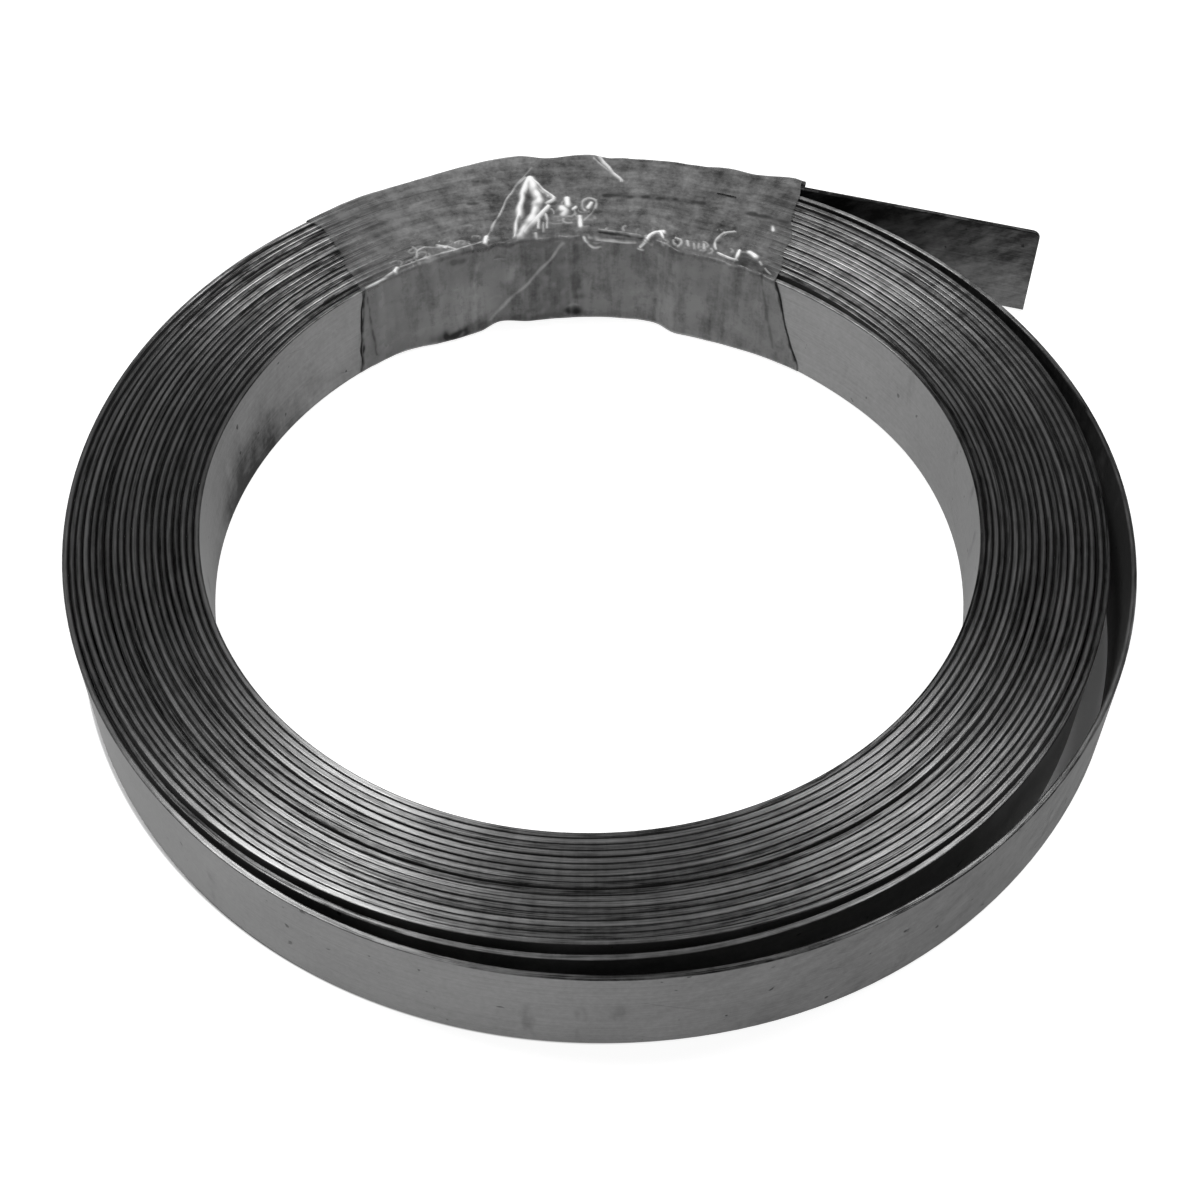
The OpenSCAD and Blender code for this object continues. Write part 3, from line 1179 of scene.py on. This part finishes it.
# What the bore's upper edge shows: a bright line with a painted glint on the left, painted shade of a
# dark slot, then loose curls.
EDGE_FOLDS = (
    Crease(((129.6, 33.5), (127.7, 33.5), (124.3, 33.7)), 0.10, 0.11, 0.75),
    Crease(((123.8, 33.7), (123.1, 34.0)), 0.16, 0.18, 1.0),
    Crease(
        ((122.5, 34.0), (120.5, 34.1), (117.5, 34.1), (113.1, 33.9), (109.8, 33.9), (107.2, 34.1)),
        0.10, 0.08, 0.42,
    ),
    Crease(
        ((119.2, 34.5), (118.6, 35.3), (117.0, 35.4), (115.7, 34.9), (114.2, 34.8), (113.1, 34.0)),
        0.12, 0.10, 0.42,
    ),
    Crease(((118.6, 35.3), (118.8, 36.0)), 0.10, 0.13, 0.35),
    Crease(((115.2, 35.2), (114.3, 34.6)), 0.12, 0.12, 0.65),
    Crease(((91.4, 33.2), (91.1, 32.5), (90.1, 32.1), (89.1, 32.3)), 0.12, 0.13, 0.6),
    Crease(((91.7, 33.4), (91.3, 32.9)), 0.14, 0.15, 0.9),
    Crease(((89.5, 34.8), (86.1, 34.6)), 0.0, 0.11, -0.4),
    Crease(((89.3, 34.0), (85.6, 33.85), (82.3, 33.6)), 0.0, 0.20, -0.95),
    Crease(((89.4, 34.4), (85.8, 34.2), (82.6, 34.0)), 0.10, 0.08, 0.25),
    Crease(((90.9, 33.4), (87.2, 33.1), (83.4, 33.1)), 0.12, 0.12, 0.55),
    Crease(((80.9, 33.6), (79.9, 33.8)), 0.0, 0.26, -0.9),
    Crease(((82.4, 32.6), (81.6, 33.4), (80.8, 34.4), (79.5, 34.8), (78.9, 33.9)), 0.20, 0.125, 1.0),
    Crease(((79.5, 34.7), (79.1, 34.8)), 0.22, 0.20, 1.0),
    Crease(((82.7, 32.3), (82.0, 32.2)), 0.10, 0.12, 0.5),
    Crease(((77.0, 33.5), (76.3, 33.6)), 0.0, 0.28, -0.55),
    Crease(arc((76.6, 33.6), (0.55, 0.66), 80, 230), 0.16, 0.12, 0.40),
    Crease(arc((76.2, 33.7), (0.50, 0.50), -60, 20), 0.16, 0.14, 0.36),
    Crease(((75.0, 34.1), (74.6, 33.5)), 0.14, 0.14, 0.55),
    Crease(((73.9, 33.4), (72.2, 33.5)), 0.0, 0.24, -0.4),
    Crease(((73.7, 33.9), (73.4, 33.3)), 0.12, 0.13, 0.38),
    Crease(((72.9, 34.1), (72.8, 33.5)), 0.12, 0.12, 0.3),
    Crease(((72.1, 34.2), (71.9, 33.5)), 0.12, 0.12, 0.45),
    Crease(((69.3, 34.6), (68.0, 34.2)), 0.0, 0.34, -0.4),
    Crease(((68.6, 36.9), (69.9, 36.4), (70.8, 35.4), (70.5, 34.4), (70.0, 33.9)), 0.18, 0.12, 0.6),
    Crease(((69.5, 33.45), (67.6, 33.3), (65.9, 33.3)), 0.14, 0.10, 0.85),
    Crease(((66.4, 34.6), (66.1, 33.4)), 0.18, 0.14, 1.0),
    Crease(((64.7, 34.7), (63.6, 34.4)), 0.18, 0.27, 1.0),
    Crease(((62.5, 33.9), (62.0, 33.7)), 0.14, 0.13, 0.6),
    Crease(((61.0, 33.4), (60.3, 33.1), (59.5, 32.9)), 0.10, 0.10, 0.35),
)
# What the bore's wall shows: painted shade along both edges, soft folds darkened with painted shade,
# one long fine line, and painted shade in the pockets at the foot.
WALL_FOLDS = (
    Crease(((98.5, 31.9), (97.5, 29.0), (97.8, 25.2)), 0.0, 2.4, -0.46),
    Crease(((130.0, 33.3), (130.7, 30.8), (131.2, 27.9), (131.9, 24.3)), 0.0, 0.17, -1.0),
    Crease(((129.6, 32.3), (129.3, 28.5), (129.0, 24.6)), 0.0, 0.12, -0.75),
    Crease(((119.3, 31.2), (119.2, 30.2)), 0.0, 0.40, -0.25),
    Crease(((114.4, 32.5), (112.2, 32.4)), 0.0, 0.45, -0.6),
    Crease(((123.5, 30.3), (123.3, 29.6)), 0.0, 0.15, -0.4),
    Crease(((109.3, 32.7), (110.4, 29.7), (111.2, 24.1)), 0.10, 0.17, 0.10),
    Crease(((104.6, 29.0), (103.7, 30.6)), 0.05, 0.50, 0.10),
    Crease(((117.0, 23.8), (113.0, 24.0), (109.6, 23.8)), 0.0, 0.85, -0.62),
    Crease(((116.0, 23.9), (113.4, 23.8)), 0.0, 0.75, -0.95),
    Crease(((95.2, 33.0), (99.1, 29.5), (103.4, 27.0), (107.9, 24.2)), 0.12, 0.13, 0.22),
    Crease(((93.2, 32.4), (93.7, 29.3), (92.8, 26.2)), 0.0, 0.60, -0.62),
    Crease(((94.4, 24.9), (93.6, 25.2), (92.8, 24.9)), 0.10, 0.12, 0.2),
    Crease(((93.9, 24.3), (93.3, 24.2)), 0.0, 0.62, -1.0),
    Crease(((103.5, 23.8), (95.5, 23.8)), 0.0, 0.60, -0.55),
    Crease(((79.1, 32.0), (78.9, 26.7), (79.1, 23.6)), 0.08, 0.15, 0.07),
    Crease(((78.4, 31.6), (78.2, 26.0)), 0.0, 0.22, -0.16),
    Crease(((73.9, 31.5), (74.3, 27.3), (76.1, 24.0)), 0.0, 0.25, -0.2),
    Crease(((58.2, 32.9), (57.2, 30.7), (55.9, 28.5), (54.2, 25.8), (52.9, 23.7)), 0.0, 0.17, -0.85),
    Crease(((60.9, 32.8), (59.8, 29.9), (58.7, 26.9), (57.3, 24.2)), 0.0, 0.16, -0.55),
)


class Face(Enum):
    """The sides of the coil's section, by the way they face: degrees from outward over up."""

    OUTSIDE = 0.0
    TOP = 90.0
    BORE = 180.0
    UNDERSIDE = 270.0


@dataclass(frozen=True)
class Drape:
    """The film laid on the coil, tight and smooth: one row for each point, column by column."""

    points: np.ndarray
    # The way each point faces, and the same as an angle in radians from outward over up.
    facing: np.ndarray
    tilt: np.ndarray
    # Its angle about the axis, its distance round the section, and its height from 0 to 1.
    angle: np.ndarray
    across: np.ndarray
    height: np.ndarray

    @property
    def along(self) -> np.ndarray:
        """Each point's distance round the coil."""
        return np.radians(self.angle) * MIDDLE_RADIUS

    @property
    def outward(self) -> np.ndarray:
        """How far each point faces outward: 1 outward, -1 towards the axis."""
        return np.cos(self.tilt)

    @property
    def upward(self) -> np.ndarray:
        """How far each point faces up: 1 up, -1 down."""
        return np.sin(self.tilt)


@dataclass
class FilmWrap:
    """The film that is wound over the coil's section at the back: one crumpled sheet."""

    coil: StripCoil
    columns: int = 390
    corner: float = 0.32
    clearance: float = 0.07
    lowest: float = -0.22
    highest: float = 0.40
    # How many rows each side has, and how much closer they stand at its end than at its start.
    side_rows: tuple[int, float] = (14, 0.0)
    top_rows: tuple[int, float] = (128, 0.45)
    wall_rows: tuple[int, float] = (78, -0.3)
    under_rows: tuple[int, float] = (14, 0.0)
    # The angles between which the film bridges the coil's steps, the grid of places that it is
    # worked out on, and how many of those it reaches to each side.
    bridged: tuple[float, float] = (40.0, 145.0)
    bridge_grid: float = 0.5
    bridge_reach: int = 6
    # Where the two edges lie, by distance round the section from the outer upper corner.
    left_edge: Knots = (
        (0, 128.3), (2.3, 127.5), (4.6, 128), (8, 129.3), (12, 130.5), (16, 131.3), (21, 132.1),
        (35, 129), (43, 128.3),
    )
    right_edge: Knots = (
        (0, 63.8), (3, 63.1), (5, 61.8), (8, 60.2), (12.2, 57.5), (14.1, 56.6), (16.3, 55.3),
        (19.0, 53.6), (21.6, 52.2), (35, 62), (43, 63.8),
    )
    # How wavy the edges are, and how far apart on their waves the two edges are read.
    edge_waviness: float = 0.16
    edge_waves: Ripple = Ripple(seed=5, shortest=2.5, longest=9.0)
    edge_shift: float = 60.0
    # How far the film stands off the coil: round the outside, and at the foot of the bore's wall.
    outer_slack: Knots = (
        (63.5, 0.12), (65.5, 0.4), (70, 0.1), (73, 0.35), (78, 0.05), (82, 0.12), (88, 0.05),
        (91, 0.45), (96, 0.15), (100, 0.75), (107, 0.45), (114, 0.06), (121, 0.2), (130, 0.05),
    )
    foot_slack: Knots = (
        (52, 0.03), (58, 0.2), (66, 0.5), (74, 0.7), (84, 0.5), (101, 0.6), (106, 0.1),
        (110, 0.8), (114, 1.0), (124, 0.15), (132, 0.04),
    )
    # How much of the outer slack is left at the foot, and how fast the foot's fades going up.
    low_slack: float = 0.35
    foot_fading: float = 1.3
    # How high the film puckers on the bore's wall, and swells and puckers on top.
    wall_pucker: float = 0.12
    top_swell: float = 0.04
    top_pucker: float = 0.015
    puckers: Ripple = Ripple(seed=8, shortest=1.8, longest=7.0)
    swells: Ripple = Ripple(seed=9, shortest=3.0, longest=12.0)
    # How far the folds' paths waver, and how much of what they lie on they flatten.
    wavering: float = 0.04
    warp: Ripple = Ripple(seed=31, shortest=1.5, longest=6.0)
    flattening: float = 0.7
    # How folds come and go along their length.
    breaking: float = 0.25
    breaks: Ripple = Ripple(seed=32, shortest=0.9, longest=4.0)
    # Where small curls lie: from and to by angle, from and to by radius, how many, how white with
    # painted glints.
    curls: tuple[tuple[float, float, float, float, int, float], ...] = (
        (60.0, 84.0, 33.3, 35.0, 24, 0.32), (84.0, 97.0, 33.2, 36.2, 12, 0.3),
        (109.0, 123.0, 33.7, 35.6, 22, 0.35), (90.5, 97.0, 35.6, 39.2, 10, 0.4),
        (64.0, 128.0, 34.5, 43.5, 30, 0.10), (58.0, 128.0, 24.0, 32.5, 40, 0.06),
    )
    # How far below the foot of the wall the underside counts as, so that no fold reaches it.
    out_of_reach: float = 9.0
    # How dense the veil is where the film stands off, over which distances it becomes so, and how
    # far a point faces the axis or outward to count as the wall or the outside.
    loose_veil: float = 0.97
    loosening: tuple[float, float] = (0.08, 0.35)
    wall_facing: tuple[float, float] = (0.2, 0.9)
    outside_facing: tuple[float, float] = (0.1, 0.6)
    # How dense the film's veil is on top and on the bore's wall, by angle.
    top_veil: Knots = (
        (60, 0.55), (66, 0.7), (75, 0.76), (92, 0.8), (105, 0.76), (113, 0.72), (119, 0.56),
        (124, 0.44), (128, 0.32), (131, 0.28),
    )
    wall_veil: Knots = ((52, 0.82), (75, 0.78), (90, 0.8), (110, 0.76), (122, 0.7), (132, 0.6))

    def rows(self) -> np.ndarray:
        """The film's rows round the section.

        Returns:
            For each row: where it lies from the bore's side (0) to the outside (1), and from the
            foot (0) to the top (1), and the direction that it faces in degrees, from outward (0)
            over up (90).
        """
        rows = []
        sides = [
            (Face.OUTSIDE, (1, 0), (1, 1), self.side_rows),
            (Face.TOP, (1, 1), (0, 1), self.top_rows),
            (Face.BORE, (0, 1), (0, 0), self.wall_rows),
            (Face.UNDERSIDE, (0, 0), (1, 0), self.under_rows),
        ]
        for face, (r0, z0), (r1, z1), (count, crowding) in sides:
            for t in np.linspace(0.0, 1.0, count):
                s = t + crowding * t * (1.0 - t)
                rows.append((r0 + (r1 - r0) * s, z0 + (z1 - z0) * s, face.value))
            rows += [(r1, z1, face.value + 30.0), (r1, z1, face.value + 60.0)]
        return np.array(rows)

    def drape(self) -> Drape:
        """Lays the film on the coil, tight and smooth.

        Returns:
            The laid film, whose distances round the section start at the outer upper corner.
        """
        coil, c, gap = self.coil, self.corner, self.clearance
        rows = self.rows()
        low, high = -gap, coil.width + gap
        face = np.radians(rows[:, 2])
        lean_out, lean_up = np.cos(face), np.sin(face)
        z = low + c + rows[:, 1] * (high - low - 2 * c) + c * lean_up
        depth = coil.outer_radius - coil.bore_radius + 2 * gap
        side = np.stack([rows[:, 0] * (depth - 2 * c) + c * lean_out, z], axis=1)
        steps = np.linalg.norm(np.diff(side, axis=0, append=side[:1]), axis=1)
        across = np.concatenate([[0.0], np.cumsum(steps)[:-1]])
        across = (across - across[self.side_rows[0] + 1]) % steps.sum()
        waves, waviness = self.edge_waves, self.edge_waviness
        left = through(self.left_edge, across) + waviness * waves.at(across)
        right = through(self.right_edge, across) + waviness * waves.at(across + self.edge_shift)
        share = np.linspace(0.0, 1.0, self.columns)[:, None]
        around = left[None, :] + share * (right - left)[None, :]

        inner = self.envelope(coil.inner_face, around, -1.0) - gap
        outer = self.envelope(coil.outer_face, around, 1.0) + gap
        radius = inner + c + rows[None, :, 0] * (outer - inner - 2 * c) + c * lean_out[None, :]
        shape = (*around.shape, 1)
        points = np.concatenate([polar(radius, around), np.broadcast_to(z[:, None], shape)], axis=2)
        out = polar(np.broadcast_to(lean_out[None, :], around.shape), around)
        facing = np.concatenate([out, np.broadcast_to(lean_up[:, None], shape)], axis=2)
        return Drape(
            points=points.reshape(-1, 3),
            facing=facing.reshape(-1, 3),
            tilt=np.tile(face, self.columns),
            angle=around.ravel(),
            across=np.tile(across, self.columns),
            height=np.clip(points[..., 2].ravel() / coil.width, 0.0, 1.0),
        )

    def envelope(
        self, face: Callable[[np.ndarray], np.ndarray], around: np.ndarray, side: float
    ) -> np.ndarray:
        """A face's radius as the film bridges its steps.

        Args:
            face: The coil's method that gives the face's radius.
            around: Angles about the axis.
            side: 1 for the furthest point nearby, -1 for the nearest.

        Returns:
            Radii that the coil nowhere passes.
        """
        grid = np.arange(*self.bridged, self.bridge_grid)
        reach = self.bridge_reach
        seen = side * face(grid)
        spread = np.array([seen[max(0, i - reach) : i + reach + 1].max() for i in range(len(grid))])
        kernel = np.hanning(2 * reach + 1)
        smooth = np.convolve(np.pad(spread, reach, mode="edge"), kernel / kernel.sum(), mode="valid")
        return side * np.interp(around, grid, smooth)

    def slack(self, drape: Drape) -> np.ndarray:
        """How far the film stands off: up the outside, and down the bore's wall.

        Args:
            drape: The laid film.

        Returns:
            A distance for each point.
        """
        outside, bore_side = drape.outward.clip(0.0), (-drape.outward).clip(0.0)
        rising = self.low_slack + (1.0 - self.low_slack) * drape.height
        slack = outside * through(self.outer_slack, drape.angle) * rising
        fading = (1.0 - drape.height) ** self.foot_fading
        return slack + bore_side * through(self.foot_slack, drape.angle) * fading

    def pucker(self, drape: Drape, slack: np.ndarray) -> np.ndarray:
        """Adds what the film swells and puckers.

        Args:
            drape: The laid film.
            slack: How far it stands off.

        Returns:
            How far each point is lifted in all.
        """
        along, across = drape.along, drape.across
        bore_side, top_side = (-drape.outward).clip(0.0), drape.upward.clip(0.0)
        drawn = (0.8 + self.puckers.at(along, across * 0.22)).clip(0.0)
        lift = slack + bore_side * self.wall_pucker * drape.height**0.5 * drawn
        lift += top_side * self.top_swell * (1.0 + self.swells.at(along, across * 0.5)).clip(0.0)
        return lift + top_side * self.top_pucker * (1.0 + self.puckers.at(along * 1.4, across)).clip(0.0)

    def level(self, drape: Drape) -> np.ndarray:
        """Folds the sides up level with the top, where the folds' paths are given.

        Args:
            drape: The laid film.

        Returns:
            Each point's place there, which wavers a little.
        """
        x, y, z = drape.points.T
        on_side = drape.height * (1.0 - drape.height) > 0.0
        drop = np.where(on_side, z.max() - z, 0.0)
        drop = np.where(drape.upward < -0.95, self.coil.width + self.out_of_reach, drop)
        radius = np.hypot(x, y) + np.where(drape.outward > 0.5, drop, -drop)
        shift = [self.warp.at(place, drape.across) for place in (x, y + 20.0)]
        return polar(radius, drape.angle) + self.wavering * np.stack(shift, axis=1)

    def crumples(self) -> Iterable[Crease]:
        """Small seeded curls and crinkles, most of them where the film turns over the bore's edge.

        Returns:
            Short curved creases.
        """
        draw = np.random.default_rng(41)
        for start, end, inner, outer, count, brightest in self.curls:
            for _ in range(count):
                centre = (draw.uniform(start, end), inner + (outer - inner) * draw.uniform() ** 1.6)
                reach = (draw.uniform(0.2, 0.75), draw.uniform(0.15, 0.5))
                first, sweep = draw.uniform(0.0, 360.0), draw.uniform(60.0, 190.0)
                size, width = draw.uniform(0.05, 0.16), draw.uniform(0.07, 0.13)
                whitening_and_shade = brightest * draw.uniform(0.15, 1.0) ** 1.4
                yield Crease(arc(centre, reach, first, first + sweep), size, width, whitening_and_shade)

    def fold(self, drape: Drape, lift: np.ndarray) -> tuple[np.ndarray, np.ndarray]:
        """Raises the folds, and finds what they whiten with painted glints and darken with painted
        shade.

        Args:
            drape: The laid film.
            lift: How far each point is lifted, to which the folds are added in place.

        Returns:
            How white and how dark each point is, from 0 to 1.
        """
        level = self.level(drape)
        breaks = 0.9 + self.breaking * self.breaks.at(drape.along * 1.1, drape.across)
        crease, shade = np.zeros(len(level)), np.zeros(len(level))
        for fold in [*self.crumples(), *TOP_FOLDS, *EDGE_FOLDS, *WALL_FOLDS]:
            near = fold.near(level)
            ridge = np.exp(-((fold.distance(level[near]) / fold.width) ** 2))
            if fold.height > 0.0:
                raised = lift[near] * (1.0 - self.flattening * ridge) + ridge * fold.height
                lift[near] = np.maximum(lift[near], raised)
            strength = abs(fold.whitening_and_shade) * np.clip(ridge * breaks[near] * 1.15, 0.0, 1.0)
            over, under = (crease, shade) if fold.whitening_and_shade > 0.0 else (shade, crease)
            over[near] = np.maximum(over[near], strength)
            under[near] *= 1.0 - np.clip(2.5 * strength, 0.0, 1.0)
        return crease, shade

    def build(self, name: str, finish: bpy.types.Material) -> bpy.types.Object:
        """Crumples the laid film and makes its mesh.

        Args:
            name: The piece's name.
            finish: Its material.

        Returns:
            The film as one mesh object.
        """
        drape = self.drape()
        slack = self.slack(drape)
        lift = self.pucker(drape, slack)
        crease, shade = self.fold(drape, lift)
        points = drape.points + drape.facing * lift[:, None]
        points[:, 2] = points[:, 2].clip(self.lowest, self.coil.width + self.highest)
        rows = len(points) // self.columns
        piece = make_piece(name, points, skin(self.columns, rows, flipped=True), finish)
        for mark, values in [(WHITENING_AND_GLINT, crease), (SHADE, shade), (VEIL, self.veil(drape, slack))]:
            paint(piece, mark, values)
        self.lay_coordinates(piece, drape.along.reshape(-1, rows), drape.across[:rows])
        return piece

    def veil(self, drape: Drape, slack: np.ndarray) -> np.ndarray:
        """How dense the film looks, which is densest where it stands off the coil.

        Args:
            drape: The laid film.
            slack: How far it stands off.

        Returns:
            The veil's density at each point, from 0 to 1.
        """
        wall = step(-drape.outward, *self.wall_facing)
        on_top, on_wall = through(self.top_veil, drape.angle), through(self.wall_veil, drape.angle)
        dense = on_top * (1.0 - wall) + on_wall * wall
        slack = np.maximum(slack, drape.upward.clip(0.0) * (drape.points[:, 2] < 0))
        outside = step(drape.outward, *self.outside_facing)
        loose = np.maximum(step(slack, *self.loosening), outside)
        return dense + (self.loose_veil - dense) * loose

    def lay_coordinates(self, piece: bpy.types.Object, along: np.ndarray, across: np.ndarray) -> None:
        """Stores the distance along the coil and round its section, in metres.

        Args:
            piece: The film.
            along: The distance along the coil, as columns by rows.
            across: Each row's distance round the section.
        """
        spare = np.median(np.diff(np.sort(across)))
        after = np.roll(across, -1)
        after = np.where(after < across, after + (across.max() + spare), after)
        ahead = np.roll(along, -1, axis=1)
        u = np.stack([along[:-1], ahead[:-1], ahead[1:], along[1:]], axis=2)
        v = np.stack([across, after, after, across], axis=1)
        lay_map(piece, FILM_UV, np.stack([u, np.broadcast_to(v[None], u.shape)], axis=3))


# ---------------------------------------------------------------- the studio


@dataclass(frozen=True)
class FloorFinish:
    """A plain white floor that keeps the object's shadow. It glows a little to the camera and in
    gloss, but not under the object, where painted shade keeps the gaps between its turns dark.
    """

    # The object's middle, its reach from there, and the radius of its bore about the origin.
    centre: tuple[float, float]
    reach: float
    bore: float
    # How far past the bore's wall the covered ring of painted shade starts, how far past the outside it
    # ends, and over what distance the glow fades at each.
    inner_margin: float = 0.2
    outer_margin: float = 0.15
    inner_fade: float = 0.4
    outer_fade: float = 0.2
    # How pale the floor is, how strongly it glows, and how much of both shows.
    white: float = 0.86
    strength: float = 2.1
    share: float = 0.42
    # How much of the glow is left under the object.
    leak: float = 0.03

    def build(self) -> bpy.types.Material:
        """The material, whose middle is at the coil's axis."""
        return make_material("floor_white", self.surface)

    def surface(self, bench: NodeBench) -> bpy.types.Node:
        """Adds the nodes of the surface.

        Args:
            bench: Where they go.

        Returns:
            The shader.
        """
        place = bench.place()
        x, y = place.part(0), place.part(1)
        from_axis = bench.polar(place).part(1)
        from_centre = ((x - self.centre[0]) ** 2.0 + (y - self.centre[1]) ** 2.0) ** 0.5
        inner, outer = self.bore + self.inner_margin, self.reach + self.outer_margin
        # Painted shade: no glow on the ring under the coil.
        covered = from_axis.rise(inner, inner + self.inner_fade)
        covered = covered * from_centre.rise(outer, outer - self.outer_fade)
        seen = bench.seen_directly() * (1.0 - (1.0 - self.leak) * covered)
        paper = bench.make("ShaderNodeBsdfDiffuse", {}, {"Color": grey(self.white)})
        glow = bench.make("ShaderNodeEmission", {}, {"Color": grey(1.0), "Strength": self.strength})
        sockets = {0: seen * self.share, 1: paper.outputs[0], 2: glow.outputs[0]}
        return bench.make("ShaderNodeMixShader", {}, sockets)


@dataclass(frozen=True)
class Softbox:
    """A square studio lamp that faces the object."""

    name: str
    azimuth: float
    elevation: float
    distance: float
    size: float
    watts: float

    def build(self) -> bpy.types.Object:
        """Makes the lamp.

        Returns:
            The lamp, turned towards the origin.
        """
        lamp = bpy.data.lights.new(self.name, "AREA")
        lamp.shape = "SQUARE"
        lamp.size = self.size
        lamp.energy = self.watts
        turn, rise = math.radians(self.azimuth), math.radians(self.elevation)
        away = Vector((math.cos(turn) * math.cos(rise), math.sin(turn) * math.cos(rise), math.sin(rise)))
        holder = bpy.data.objects.new(self.name, lamp)
        holder.location = away * self.distance
        holder.rotation_euler = away.to_track_quat("Z", "Y").to_euler()
        bpy.context.scene.collection.objects.link(holder)
        return holder


@dataclass
class Studio:
    """The camera, the lamps, the surroundings and the floor, in metres."""

    camera_elevation: float = 51.534
    camera_distance: float = 0.1806
    camera_roll: float = 0.85
    looks_at: tuple[float, float, float] = (0.001027, -0.003067, 0.0)
    lens: float = 61.105
    # How bright the surroundings are low down and high up, and between which heights they change.
    horizon: float = 0.10
    sky: float = 0.265
    paling: tuple[float, float] = (0.15, 0.75)
    # The heights above which the white strip behind the floor's rim ends.
    strip_end: tuple[float, float] = (0.06, 0.035)
    floor_radius: float = 4.0
    floor_corners: int = 96
    lamps: tuple[Softbox, ...] = (
        Softbox("lamp_left", azimuth=153.0, elevation=68.0, distance=0.9, size=0.2, watts=3.4),
        Softbox("lamp_right", azimuth=31.5, elevation=63.0, distance=0.9, size=0.2, watts=2.0),
    )

    def place_camera(self) -> bpy.types.Object:
        """Makes the camera and sets it as the scene's.

        Returns:
            The camera.
        """
        scene = bpy.context.scene
        data = bpy.data.cameras.new("camera")
        data.lens = self.lens
        data.sensor_width = 36.0
        data.clip_start = 0.005
        data.clip_end = 50.0
        camera = bpy.data.objects.new("camera", data)
        rise = math.radians(self.camera_elevation)
        back = Vector((0.0, -math.cos(rise), math.sin(rise)))
        camera.location = Vector(self.looks_at) + back * self.camera_distance
        aim = Euler((math.pi / 2.0 - rise, 0.0, 0.0)).to_matrix()
        roll = Euler((0.0, 0.0, math.radians(self.camera_roll))).to_matrix()
        camera.rotation_euler = (aim @ roll).to_euler()
        scene.collection.objects.link(camera)
        scene.camera = camera
        return camera

    def light(self) -> None:
        """Hangs the lamps and makes the surroundings: a white strip where the floor ends, dark above
        it and paler higher up.
        """
        for lamp in self.lamps:
            lamp.build()
        scene = bpy.context.scene
        world = bpy.data.worlds.new("studio")
        world.use_nodes = True
        scene.world = world
        bench = NodeBench(world.node_tree)
        height = bench.field("ShaderNodeTexCoord", {}, {}, "Generated").part(2)
        colour = bench.blend(height.rise(*self.paling), grey(self.horizon), grey(self.sky))
        beyond_floor = bench.seen_directly() * height.rise(*self.strip_end)
        colour = bench.blend(beyond_floor, colour, grey(1.0))
        background = bench.make("ShaderNodeBackground", {}, {"Color": colour, "Strength": 1.0})
        bench.make("ShaderNodeOutputWorld", {}, {"Surface": background.outputs[0]})
        scene.view_settings.view_transform = "Standard"

    def lay_floor(self, height: float, finish: FloorFinish) -> bpy.types.Object:
        """Lays a round floor.

        Args:
            height: Where its top lies, in metres.
            finish: What it is made of.

        Returns:
            The floor, which isn't part of the object.
        """
        count = self.floor_corners
        rim = polar(np.full(count, self.floor_radius / MM), np.arange(count) * TURN / count)
        points = np.concatenate([rim, np.full((count, 1), height / MM)], axis=1)
        floor = make_piece("floor", points, [list(range(count))], finish.build())
        floor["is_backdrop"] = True
        return floor


# ---------------------------------------------------------------- putting it together


def mount_radius(record: Mapping[str, Any], name: str) -> float:
    """The radius of one of the record's mounts, in millimetres."""
    return next(m["dims"]["r_mm"] for m in record["mounts"] if m["name"] == name)


def main() -> None:
    """Builds the studio, the coil and the film to the imported part's sizes, lays the floor and logs the
    visual box.
    """
    logging.basicConfig(level=logging.INFO, format="%(name)s: %(message)s")
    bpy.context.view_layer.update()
    studio = Studio()
    studio.place_camera()
    studio.light()

    low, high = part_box("strip_coil")
    coil = StripCoil(
        width=(high.z - low.z) / MM,
        outer_radius=-low.x / MM,
        bore_radius=mount_radius(frame["record"], "bore"),
    )
    strip = coil.build("wound_strip", StripFinish().build())
    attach(strip, "root")
    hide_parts("strip_coil")
    LOG.info("wound_strip: %d turns, %d faces", coil.turns, len(strip.data.polygons))

    wrap = FilmWrap(coil)
    film = wrap.build("film_sleeve", FilmFinish().build())
    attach(film, "root")
    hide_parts("film_wrap")
    LOG.info("film_sleeve: %d faces", len(film.data.polygons))

    new_low, new_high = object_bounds()
    middle = ((low.x + high.x) / 2.0 / MM, (low.y + high.y) / 2.0 / MM)
    covered = FloorFinish(middle, reach=(high.x - low.x) / 2.0 / MM, bore=coil.bore_radius)
    studio.lay_floor(new_low.z, covered)
    for word, corner in (("from", new_low), ("to", new_high)):
        LOG.info("visual box %s %s mm", word, [round(v / MM, 2) for v in corner])


if __name__ == "__main__":
    main()
